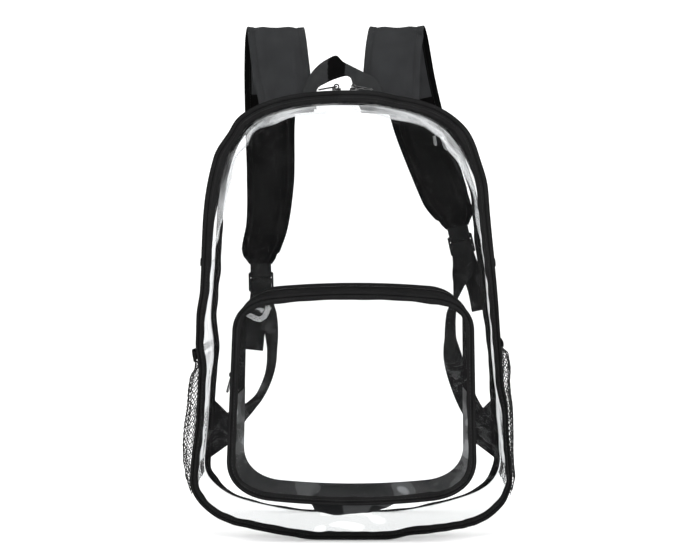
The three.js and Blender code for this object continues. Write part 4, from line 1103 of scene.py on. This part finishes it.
def makeNet(side):
    own = net[side]
    turned = (lambda index: index) if side == "right" else leftOf
    foot, mouth, top = (outline.indexAt(height) for height in (net["foot"], own["mouth"], own["rimTop"]))
    tall = own["mouth"] - net["foot"]
    deep = bag["back"] - bag["front"]
    rows, columns = round(tall / net["cellUp"]), round(deep / net["cellDeep"])

    def spot(up, across):
        rise, share = up / rows, across / columns
        index = turned(foot + (mouth - foot) * rise)
        seam = frontSeam(*frontOutline.at(index))
        waver = softNoise(rise * net["waverTall"], share * deep, net["waverSize"], 41) - 1
        lift = netLift(side, rise, share) + net["waver"] * waver
        return plainWall(index, seam + (bag["back"] - seam) * share, lift)

    strands = []
    step = np.arange(0, rows + columns + 0.25, 0.25)
    for way in (1, -1):
        for start in range(-rows, columns + rows + 1):
            across = start + way * step
            keep = (step <= rows) & (across >= 0) & (across <= columns)
            if keep.sum() > 1:
                strands.append(spot(step[keep], across[keep]) + [[net["apart"] * way, 0, 0]])
    mesh = grow("net_" + side, netNodes, {"Radius": net["strand"] * mm, "Material": netThread}, strands)
    settle(mesh, "black_net", "mesh_pocket_" + side)
    ends = sorted((turned(mouth - 0.02), turned(top)))

    def rimWall(index, depth, lift=0.0):
        # the elastic draws in to half its height behind the front seam
        through = (np.asarray(depth, float) - bag["front"]) / deep
        drawn = net["drawIn"] * smoothStep(through, 0.2, 0.45)
        return plainWall(index + (turned(top) - index) * drawn, depth, lift)

    def rimLift(along, share):
        pleat = np.sin(share * deep / net["gatherPitch"] * 2 * math.pi)
        gather = net["gather"] * pleat * np.sin(math.pi * along)
        rise = along if side == "right" else 1 - along
        flare = own["flare"] * rise * smoothTable(net["across"], share)
        return netLift(side, 1.0, share) + net["rimProud"] + gather + flare

    edges = (behindSeam(0), level(bag["back"]))
    rim = wallShell(rimWall, ends, edges, net["rimCells"], net["rimThick"], rimLift)
    settle(rim.build("net_rim_" + side, [elasticCloth], 80), "bound_fabric", "mesh_rim_" + side)


for side in ("right", "left"):
    makeNet(side)
print("net pockets ready")


# Bands swept along a route, as the solids have them
def catmull(points, place):
    points = np.asarray(points, float)
    padded = np.vstack([2 * points[0] - points[1], points, 2 * points[-1] - points[-2]])
    low = np.clip(np.floor(place).astype(int), 0, len(points) - 2)
    share = (place - low)[:, None]
    p0, p1, p2, p3 = (padded[low + shift] for shift in range(4))
    pairs = ((p0, p1), (p1, p2), (p2, p3))
    d0, d1, d2 = (np.sum((b - a) ** 2, axis=1, keepdims=True) ** 0.25 for a, b in pairs)
    leave = ((p1 - p0) / d0 - (p2 - p0) / (d0 + d1) + (p2 - p1) / d1) * d1
    reach = ((p2 - p1) / d1 - (p3 - p1) / (d1 + d2) + (p3 - p2) / d2) * d1
    square, cube = 2 * leave + reach, leave + reach
    return p1 + leave * share + (3 * (p2 - p1) - square) * share ** 2 + (2 * (p1 - p2) + cube) * share ** 3


class Route:
    # centre, width direction and outward direction at many places along a band
    def __init__(self, rows, hint, fine, facing=None, twist=None):
        rows = np.array(rows, float)
        last = len(rows) - 1
        self.place = np.linspace(0, last, last * fine + 1)
        self.centre = catmull(rows[:, :3], self.place)
        ahead = catmull(rows[:, :3], np.clip(self.place + 1e-3, 0, last))
        behind = catmull(rows[:, :3], np.clip(self.place - 1e-3, 0, last))
        along = self.unit(ahead - behind)
        level = self.unit(hint - along * (along @ hint)[:, None])
        if facing is not None:
            flat = self.unit(np.cross(along, [0.0, 1.0, 0.0]))
            share = self.between(facing)[:, None]
            level = np.where(share > 0, self.unit(level + (flat - level) * share), level)
        if twist is not None:
            turn = np.radians(self.between(twist))[:, None]
            level = level * np.cos(turn) + np.cross(along, level) * np.sin(turn)
        self.across = level
        self.out = np.cross(level, along)
        self.columns = rows[:, 3:].T

    def unit(self, vectors):
        return vectors / np.maximum(np.linalg.norm(vectors, axis=-1, keepdims=True), 1e-9)

    def between(self, values):
        return np.interp(self.place, np.arange(len(values)), values)

    def rings(self, across, out):
        # across and out: millimetres from the centre, one column for each corner of the section
        sideways = self.across[:, None] * across[..., None]
        return self.centre[:, None] + sideways + self.out[:, None] * out[..., None]

    def sweep(self, section):
        across, out = (np.broadcast_to(column, (len(self.place), len(section))) for column in section.T)
        return self.rings(across, out)

    def line(self, across, out):
        return self.centre + self.across * across[:, None] + self.out * out[:, None]


# Shoulder straps: rows of x, y, z, width and thickness from the seam over the fold to the lower end
straps = {
    "left": {
        "pad": [(-65, 81.2, 413, 56, 4), (-66.8, 82.4, 432, 57, 6), (-71.5, 84.6, 460, 60, 8),
                (-75, 89, 488, 60, 8), (-77.5, 98, 500, 60, 8), (-80, 107, 489, 60, 8),
                (-82.5, 111, 455, 57, 10), (-84, 111, 403, 52, 11), (-83.5, 108, 345, 50, 11),
                (-87, 102, 298, 44, 10)],
        "lock": (-93.2, 98.5, 238.8, 1),
        "tail": [(-94.5, 102, 220), (-99, 101, 196), (-102, 99.5, 167)],
        "lower": [(-91, 95, 216), (-84.5, 94.5, 200), (-81.5, 92.5, 170), (-84, 90.5, 144),
                  (-94, 88.5, 120.5), (-103, 87.5, 110), (-112, 86, 102), (-121, 83, 95), (-128, 81.2, 91),
                  (-135, 80.3, 88), (-142, 80, 86.5)],
        "twist": [0, -42, -64, -68, -68, -60, -45, -16, 0, 0, 0],
    },
    "right": {
        "pad": [(41, 81.2, 413, 59, 4), (42.2, 82.4, 432, 60, 6), (43.5, 84.6, 460, 59, 8),
                (46, 89, 488, 58, 8), (49, 98, 500, 58, 8), (53, 107, 489, 58, 8), (62, 111, 446, 56, 10),
                (73, 110, 403, 55, 11), (88, 107, 361, 53, 11), (100, 102.5, 328, 49, 10)],
        "lock": (116.6, 98.5, 277.9, 13),
        "tail": [(122.5, 102, 259), (133, 101.5, 235), (138.5, 100, 209)],
        "lower": [(118, 95, 252), (114, 94.5, 237), (110.5, 94, 222), (106, 92.5, 206), (105, 91, 180),
                  (107.5, 89, 160), (113.5, 86.5, 138), (121.5, 83.2, 117), (129, 81.2, 103.5),
                  (137, 80.3, 95), (145, 80, 89.5)],
        "twist": [0, 60, 84, 68, 60, 25, 0, 0, 0, 0, 0],
    },
}
padShape = {
    "ends": [(14, 39.5, 8.4), (6, 32, 7.8), (0, 24, 7.4)], "edgeHalf": 0.42, "fine": 12, "corners": 27,
    "pillow": 0.12, "pillowSize": 24, "fold": 4.2, "liningFrom": 6.4, "fill": 0.45,
    "edgingWide": 7.5, "edgingProud": 0.45, "edgingStep": 0.4, "edgingTuck": 0.14, "underEdging": 0.8,
    "stitchIn": 1.3, "stitchProud": 0.12,
}
webbing = {"wide": 21.5, "thick": 1.6, "clear": 0.6, "fine": 7}
ladder = {"topBar": -8.6, "barHalf": 1.6, "thick": 3, "padReach": 10, "slack": 0.5,
          "turnSteps": 6, "turnPower": 2 / 3}
barSpan = ladder["barHalf"] + webbing["clear"] + webbing["thick"] / 2
legOut = ladder["thick"] / 2 + webbing["clear"] + webbing["thick"] / 2


class LockFrame:
    def __init__(self, x, y, z, lean):
        turn = math.radians(lean)
        self.middle = np.array([x, y, z], float)
        self.across = np.array([math.cos(turn), 0.0, math.sin(turn)])
        self.down = np.array([math.sin(turn), 0.0, -math.cos(turn)])

    def spot(self, out, fall):
        return self.middle + self.down * fall + np.array([0.0, out, 0.0])

    def barTurn(self, bar, way):
        spots = []
        for step in range(ladder["turnSteps"] + 1):
            angle = math.pi * step / ladder["turnSteps"]
            turned = (math.cos(angle), math.sin(angle))
            out, fall = (math.copysign(abs(value) ** ladder["turnPower"], value) for value in turned)
            spots.append(self.spot(legOut * out, bar + way * barSpan * fall))
        return spots


def padHalf(across):
    # half thickness of a pad by its place from the middle to an edge, both as shares
    edge = padShape["edgeHalf"]
    crown = edge + (1 - edge) * smoothStep(1 - np.abs(across), 0.2, 0.56)
    return crown * np.sqrt(np.clip(1 - np.clip((np.abs(across) - 0.94) / 0.06, 0, 1) ** 2, 0.02, 1))


def makePad(side, strap, lock):
    end = ladder["topBar"] - ladder["padReach"]
    ends = [(*lock.spot(0, end - above), wide, thick) for above, wide, thick in padShape["ends"]]
    route = Route(strap["pad"] + ends, np.array([1.0, 0.0, 0.0]), padShape["fine"])
    wide, thick = (route.between(column)[:, None] for column in route.columns)
    share = np.sin(np.linspace(-math.pi / 2, math.pi / 2, padShape["corners"]))
    around = np.concatenate([share, share[-2:0:-1]])
    half = padHalf(around) * np.where(np.arange(len(around)) < len(share), 1, -1)
    run = np.linspace(0, len(route.place) * 2.2, len(route.place))[:, None]
    face = np.sign(half)
    pillow = softNoise(run, (around * 30 + face * 60)[None, :], padShape["pillowSize"], 51)
    pillow = padShape["pillow"] * pillow * (np.abs(around) < 0.7) * face
    padWide = wide / 2 - padShape["underEdging"]
    rings = route.rings(around[None, :] * padWide, half[None, :] * thick / 2 + pillow)
    rear = np.arange(len(around)) >= len(share) - 1
    # painted shade: the body side takes the darker lining cloth only where the strap hangs behind the bag;
    # higher up the same face takes the outer cloth
    slots = rear[None, :] & (route.place > padShape["liningFrom"])[:, None]
    pad = Mould().tube(rings, slot=slots.astype(int)).build("pad_" + side, [padCloth, liningAndShade], 60)
    settle(pad, "pad_fabric", "strap_pad_" + side)

    # folded edging along both sides
    bend = np.linspace(-math.pi / 2, math.pi / 2, 9)
    lift = padShape["edgeHalf"] * thick / 2 + padShape["edgingProud"]
    inner = wide / 2 - padShape["edgingWide"]
    step = inner + padShape["edgingStep"]
    bent = wide / 2 - lift * 0.5 + lift * 0.5 * np.cos(bend)[None, :]
    across = np.concatenate([inner, step, bent, step, inner], axis=1)
    tucked = lift - padShape["edgingTuck"]
    out = np.concatenate([-tucked, -lift, lift * np.sin(bend)[None, :], lift, tucked], axis=1)
    seam = (inner + padShape["stitchIn"])[:, 0]
    proud = (lift + padShape["stitchProud"])[:, 0]
    # painted shade: below the fold, where the strap hangs behind the bag, the edging takes the darker lining
    # cloth
    hanging = (route.place > padShape["fold"])[:, None].astype(int)  # darker below the fold
    mould = Mould()
    rowsOfStitches = []
    for sign in (-1, 1):
        mould.tube(route.rings(sign * across, out), slot=hanging)
        rowsOfStitches += [route.line(sign * seam, over * proud) for over in (-1, 1)]
    edging = mould.build("pad_edging_" + side, [padCloth, liningAndShade], 60)
    settle(edging, "bound_fabric")
    settle(grow("pad_stitches_" + side, stitchNodes, fineStitch, rowsOfStitches), "bound_fabric")


def flatSection(wide, thick):
    # rounded flat section: millimetres across and out
    half = thick / 2
    bend = np.linspace(-math.pi / 2, math.pi / 2, 5)
    body = np.linspace(-1, 1, 9)[1:-1]
    right = np.stack([wide / 2 - half + half * np.cos(bend), half * np.sin(bend)], axis=1)
    top = np.stack([-body * (wide / 2 - half), half * (1 + 0.06 * np.cos(body * math.pi * 3))], axis=1)
    return np.concatenate([right, top, -right, -top])


def makeWebbing(side, strap, lock):
    section = flatSection(webbing["wide"], webbing["thick"])
    end = ladder["topBar"] - ladder["padReach"] - 1
    turn = lock.barTurn(ladder["topBar"] + ladder["slack"], 1)
    route = Route([lock.spot(legOut, end), *turn, lock.spot(-legOut, end)], lock.across, webbing["fine"])
    loop = Mould().tube(route.sweep(section))
    settle(loop.build("loop_" + side, [webCloth], 60), "black_webbing", "buckle_loop_" + side)
    upper = [*strap["tail"][::-1], *lock.barTurn(-ladder["slack"], -1)]
    still = [0.0] * len(upper)
    facing = still + [1.0] * len(strap["lower"])
    route = Route([*upper, *strap["lower"]], lock.across, webbing["fine"], facing, still + strap["twist"])
    band = Mould().tube(route.sweep(section))
    settle(band.build("webbing_" + side, [webCloth], 60), "black_webbing", "strap_webbing_" + side)


for side, strap in straps.items():
    lockFrame = LockFrame(*strap["lock"])
    makePad(side, strap, lockFrame)
    makeWebbing(side, strap, lockFrame)
print("straps ready")

# Anchor tabs on the back seam, doubled cloth with a boxed row of stitches
anchor = {"seamLow": 53, "seamHigh": 121, "inset": 1, "tipX": 127, "aside": 3, "tipLow": 72, "tipHigh": 100,
          "thick": 1.6, "behind": 2, "hem": 0.35}


def makeAnchor(side):
    sign = 1 if side == "right" else -1
    up = np.linspace(0, 1, 24)[:, None]
    over = np.linspace(0, 1, 16)[None, :]
    seamZ = anchor["seamLow"] + (anchor["seamHigh"] - anchor["seamLow"]) * up
    tipZ = anchor["tipLow"] + (anchor["tipHigh"] - anchor["tipLow"]) * up
    index = outline.indexAt(seamZ)
    seamX = backOutline.at(index if sign > 0 else leftOf(index))[0] - sign * anchor["inset"]
    x = seamX + (sign * anchor["tipX"] + anchor["aside"] - seamX) * over
    z = seamZ + (tipZ - seamZ) * over
    near = bag["back"] + anchor["behind"]
    edge = np.minimum(smoothStep(np.minimum(up, 1 - up), 0, 0.08), smoothStep(1 - over, 0, 0.1))
    hem = anchor["hem"] * edge
    face = onWall(x, near + anchor["thick"] - anchor["hem"] + hem, z)
    rear = onWall(x, np.full_like(x, near), z)
    tab = Mould().shell(face, rear)
    settle(tab.build("anchor_" + side, [tapeCloth]), "bound_fabric", "anchor_tab_" + side)
    box = [face[2:-2, 3], face[-3, 3:-2], face[2:-2, -3][::-1], face[2, 3:-2][::-1]]
    row = np.concatenate(box) + [0, 0.2, 0]
    settle(grow("anchor_stitches_" + side, stitchNodes, fineStitch, [row]), "bound_fabric")


for side in straps:
    makeAnchor(side)

# Haul handle: upper and lower edge of the webbing, x y z each
handle = {"thick": 1.7, "fine": 8, "darkFrom": -23, "paintedShadeTo": -5}
handleEdges = [
    (-50.5, 77.9, 421, -34.5, 77.9, 418), (-48.5, 77.9, 437, -35, 77.9, 433),
    (-41, 78.1, 454, -33, 77.9, 440), (-33, 80.5, 463.5, -25, 78.4, 445),
    (-24, 84, 470, -15, 80, 449.5), (-14, 86, 474, -3, 81.5, 452.5),
    (-7.5, 85, 468, 0.5, 81.5, 450.5), (1, 82.5, 463.3, 2, 80, 446.5),
    (12, 78.4, 457.5, 3, 78.2, 441), (26, 77.9, 450, 5, 77.9, 433),
    (33, 77.9, 437, 8, 77.9, 424), (35, 77.9, 425, 12, 77.9, 416),
]


def makeHandle():
    edges = np.array(handleEdges, float)
    place = np.linspace(0, len(edges) - 1, (len(edges) - 1) * handle["fine"] + 1)
    top, low = catmull(edges[:, :3], place), catmull(edges[:, 3:], place)
    share = np.linspace(0, 1, 13)
    rim = np.sqrt(np.clip(1 - (2 * share - 1) ** 8, 0.05, 1)) * handle["thick"] / 2
    across = top[:, None] + (low - top)[:, None] * share[None, :, None]
    front = across - [0, 1, 0] * rim[None, :, None]
    rear = across + [0, 1, 0] * rim[None, :, None]
    grab = Mould().shell(front, rear).build("handle", [handleCloth, liningAndShade], 60)
    # painted shadow: faces at the peak of the fold, between these x, take the darker lining cloth
    for face in grab.data.polygons:
        if handle["darkFrom"] < face.center.x / mm < handle["paintedShadeTo"]:
            face.material_index = 1
    settle(grab, "black_webbing", "haul_handle")


makeHandle()
print("handle ready")


# Rows of stitches round the seams: share of the binding's width, distance from its middle
seamRow = {"inset": 0.62, "proud": 1.42}


def makeStitches():
    inset, proud = seamRow["inset"], seamRow["proud"]
    index = outline.around(700)
    edgeX, edgeZ = frontOutline.at(index)
    x, z = frontOutline.at(index, inset * bindingWide(edgeZ, edgeX))
    rows = [onWall(x, frontSeam(edgeX, edgeZ) + side * proud, z) for side in (-1, 1)]
    x, z = backOutline.at(index, inset * backWide(edgeZ, edgeX))
    rows.append(onWall(x, bag["back"] + proud, z))
    settle(grow("binding_stitches", stitchNodes, stitch, rows, closed=True), "bound_fabric")
    x, z = faceTrace.at(faceTrace.around(500), inset * pocket["bindingWide"])
    row = onWall(x, pocket["depth"] - proud, z)
    settle(grow("pocket_stitches", stitchNodes, stitch, [row], closed=True), "bound_fabric")
    index = np.linspace(zipEndIndex, leftOf(zipEndIndex), 400)
    behind = (zipSize["coilFrom"] - 6, zipSize["rearEdge"] - 2)
    rows = [bodyWall(index, behindSeam(offset)(index), 0.4) for offset in behind]
    settle(grow("zip_stitches", stitchNodes, fineStitch, rows), "bound_fabric")
    depth = np.linspace(bag["front"] + 4, bag["back"] - 4, 60)
    corners = (cornerIndex - 0.1, leftOf(cornerIndex) + 0.1)
    rows = [bodyWall(np.full_like(depth, corner), depth, 0.25) for corner in corners]
    settle(grow("corner_stitches", stitchNodes, fineStitch, rows), "bound_fabric")


makeStitches()
print("stitches ready")


# Hard pieces: softened copies of the solids
def softenedCopy(node, name, finish, slot, body, soften):
    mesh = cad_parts[node].data.copy()
    mesh.name = name
    work = bmesh.new()
    work.from_mesh(mesh)
    bmesh.ops.remove_doubles(work, verts=work.verts, dist=2e-6)
    bmesh.ops.dissolve_limit(work, angle_limit=math.radians(2), verts=work.verts, edges=work.edges)
    work.to_mesh(mesh)
    work.free()
    mesh.materials.clear()
    mesh.materials.append(finish)
    made = bpy.data.objects.new(name, mesh)
    scene.collection.objects.link(made)
    bevel = made.modifiers.new("soften", "BEVEL")
    bevel.width = soften * mm
    bevel.segments = 2
    bevel.limit_method = "ANGLE"
    bevel.angle_limit = math.radians(40)
    mesh.polygons.foreach_set("use_smooth", [True] * len(mesh.polygons))
    mesh.set_sharp_from_angle(angle=math.radians(40))
    return settle(made, slot, node, body=body)


hardPieces = [
    ("slider_left", "slider_body_left", bagBody),
    ("slider_right", "slider_body_right", bagBody),
    ("pocket_slider", "pocket_slider_body", bagBody),
    ("pull_left", "pull_tab_left", "main_pull_left"),
    ("pull_right", "pull_tab_right", "main_pull_right"),
    ("pocket_pull", "pocket_pull_tab", "front_pocket_pull"),
]
for node, name, body in hardPieces:
    softenedCopy(node, name, lacquer, "black_metal", body, 0.3)
for side in straps:
    softenedCopy("ladder_lock_" + side, "ladder_frame_" + side, nylon, "black_nylon", bagBody, 0.6)
print("hard pieces ready")

# Floor, light and camera
studio = {"floorRadius": 9.0, "floorShade": 0.92, "floorMottle": 0.03, "backdrop": 1.35,
          "worldBack": 1.5, "worldFront": 0.03, "worldTop": 1.5}
lamps = [  # name, place, aim, width, height, watts
    ("overhead", (0.0, -1.3, 1.9), (0.0, 0.0, 0.25), 1.4, 1.1, 32.0),
    ("strip_left", (-1.5, -1.5, 0.5), (0.0, 0.0, 0.25), 0.4, 1.4, 17.5),
    ("strip_right", (1.5, -1.6, 0.6), (0.0, 0.0, 0.25), 0.4, 1.4, 17.5),
]
photoView = {"place": (0.0, -1.925, 0.338), "downDegrees": 2.755, "lens": 99.4, "sensor": 36.0}


def makeWorld():
    world = bpy.data.worlds.new("studio")
    scene.world = world
    world.use_nodes = True
    world.node_tree.nodes.clear()
    graph = Graph(world.node_tree)
    way = graph.split(graph.node("ShaderNodeTexCoord", output="Generated"))
    around = graph.remap(way[1], -1.0, 0.6, studio["worldFront"], studio["worldBack"])
    high = graph.remap(way[2], 0.45, 0.85)
    mirrored = graph.node("ShaderNodeLightPath", output="Is Glossy Ray")
    # the clear sheets mirror a dark room in front of the bag
    above = graph.remap(way[2], 0.1, 0.9) * (1 - mirrored * (1 - high))
    light = around + above * (studio["worldTop"] - around)
    seen = graph.node("ShaderNodeLightPath", output="Is Camera Ray")
    light = seen * studio["backdrop"] + (1 - seen) * light
    sky = graph.node("ShaderNodeBackground", None, {"Color": (1.0, 1.0, 1.0, 1.0), "Strength": light})
    graph.node("ShaderNodeOutputWorld", None, {"Surface": sky})


def makeFloor():
    radius, shade = studio["floorRadius"], studio["floorShade"]
    ring = np.linspace(0, 2 * math.pi, 96, endpoint=False)
    mesh = bpy.data.meshes.new("floor")
    rim = [(radius * math.cos(angle), radius * math.sin(angle), 0.0) for angle in ring]
    mesh.from_pydata(rim, [], [tuple(range(len(ring)))])
    floor = bpy.data.objects.new("floor", mesh)
    scene.collection.objects.link(floor)
    material, graph = newFinish("studio_floor")
    mottle = graph.ramp(graph.noise(2.0), [(0.0, (shade,) * 3), (1.0, (shade + studio["floorMottle"],) * 3)])
    skin = graph.node("ShaderNodeBsdfPrincipled", None, {
        "Base Color": mottle, "Roughness": 0.9, "Specular IOR Level": 0.1,
    })
    # dark in the clear sheets here too, but for a few patches
    near = graph.remap(graph.split(graph.spot())[1], -0.3, 0.1, 1.0, 0.0)
    mirrored = near * graph.node("ShaderNodeLightPath", output="Is Glossy Ray")
    patches = graph.ramp(graph.noise(6.0), [(0.56, (0.012,) * 3), (0.61, (0.5,) * 3)])
    dim = graph.node("ShaderNodeBsdfDiffuse", None, {"Color": patches})
    graph.cover(graph.mix(mirrored, skin, dim))
    mesh.materials.append(material)


def makeLamps():
    for name, place, aim, wide, tall, watts in lamps:
        lamp = bpy.data.lights.new(name, "AREA")
        lamp.shape = "RECTANGLE"
        lamp.size = wide
        lamp.size_y = tall
        lamp.energy = watts
        holder = bpy.data.objects.new(name, lamp)
        holder.location = place
        holder.rotation_euler = (Vector(aim) - Vector(place)).to_track_quat("-Z", "Y").to_euler()
        scene.collection.objects.link(holder)


def makeCamera():
    lens = bpy.data.cameras.new("photo_view")
    lens.lens = photoView["lens"]
    lens.sensor_width = photoView["sensor"]
    lens.sensor_fit = "HORIZONTAL"
    lens.dof.use_dof = False
    camera = bpy.data.objects.new("photo_view", lens)
    camera.location = photoView["place"]
    camera.rotation_euler = (math.radians(90 - photoView["downDegrees"]), 0.0, 0.0)
    scene.collection.objects.link(camera)
    scene.camera = camera


makeWorld()
makeFloor()
makeLamps()
makeCamera()
scene.view_settings.view_transform = "Standard"
scene.cycles.transparent_max_bounces = 32
print("studio ready")
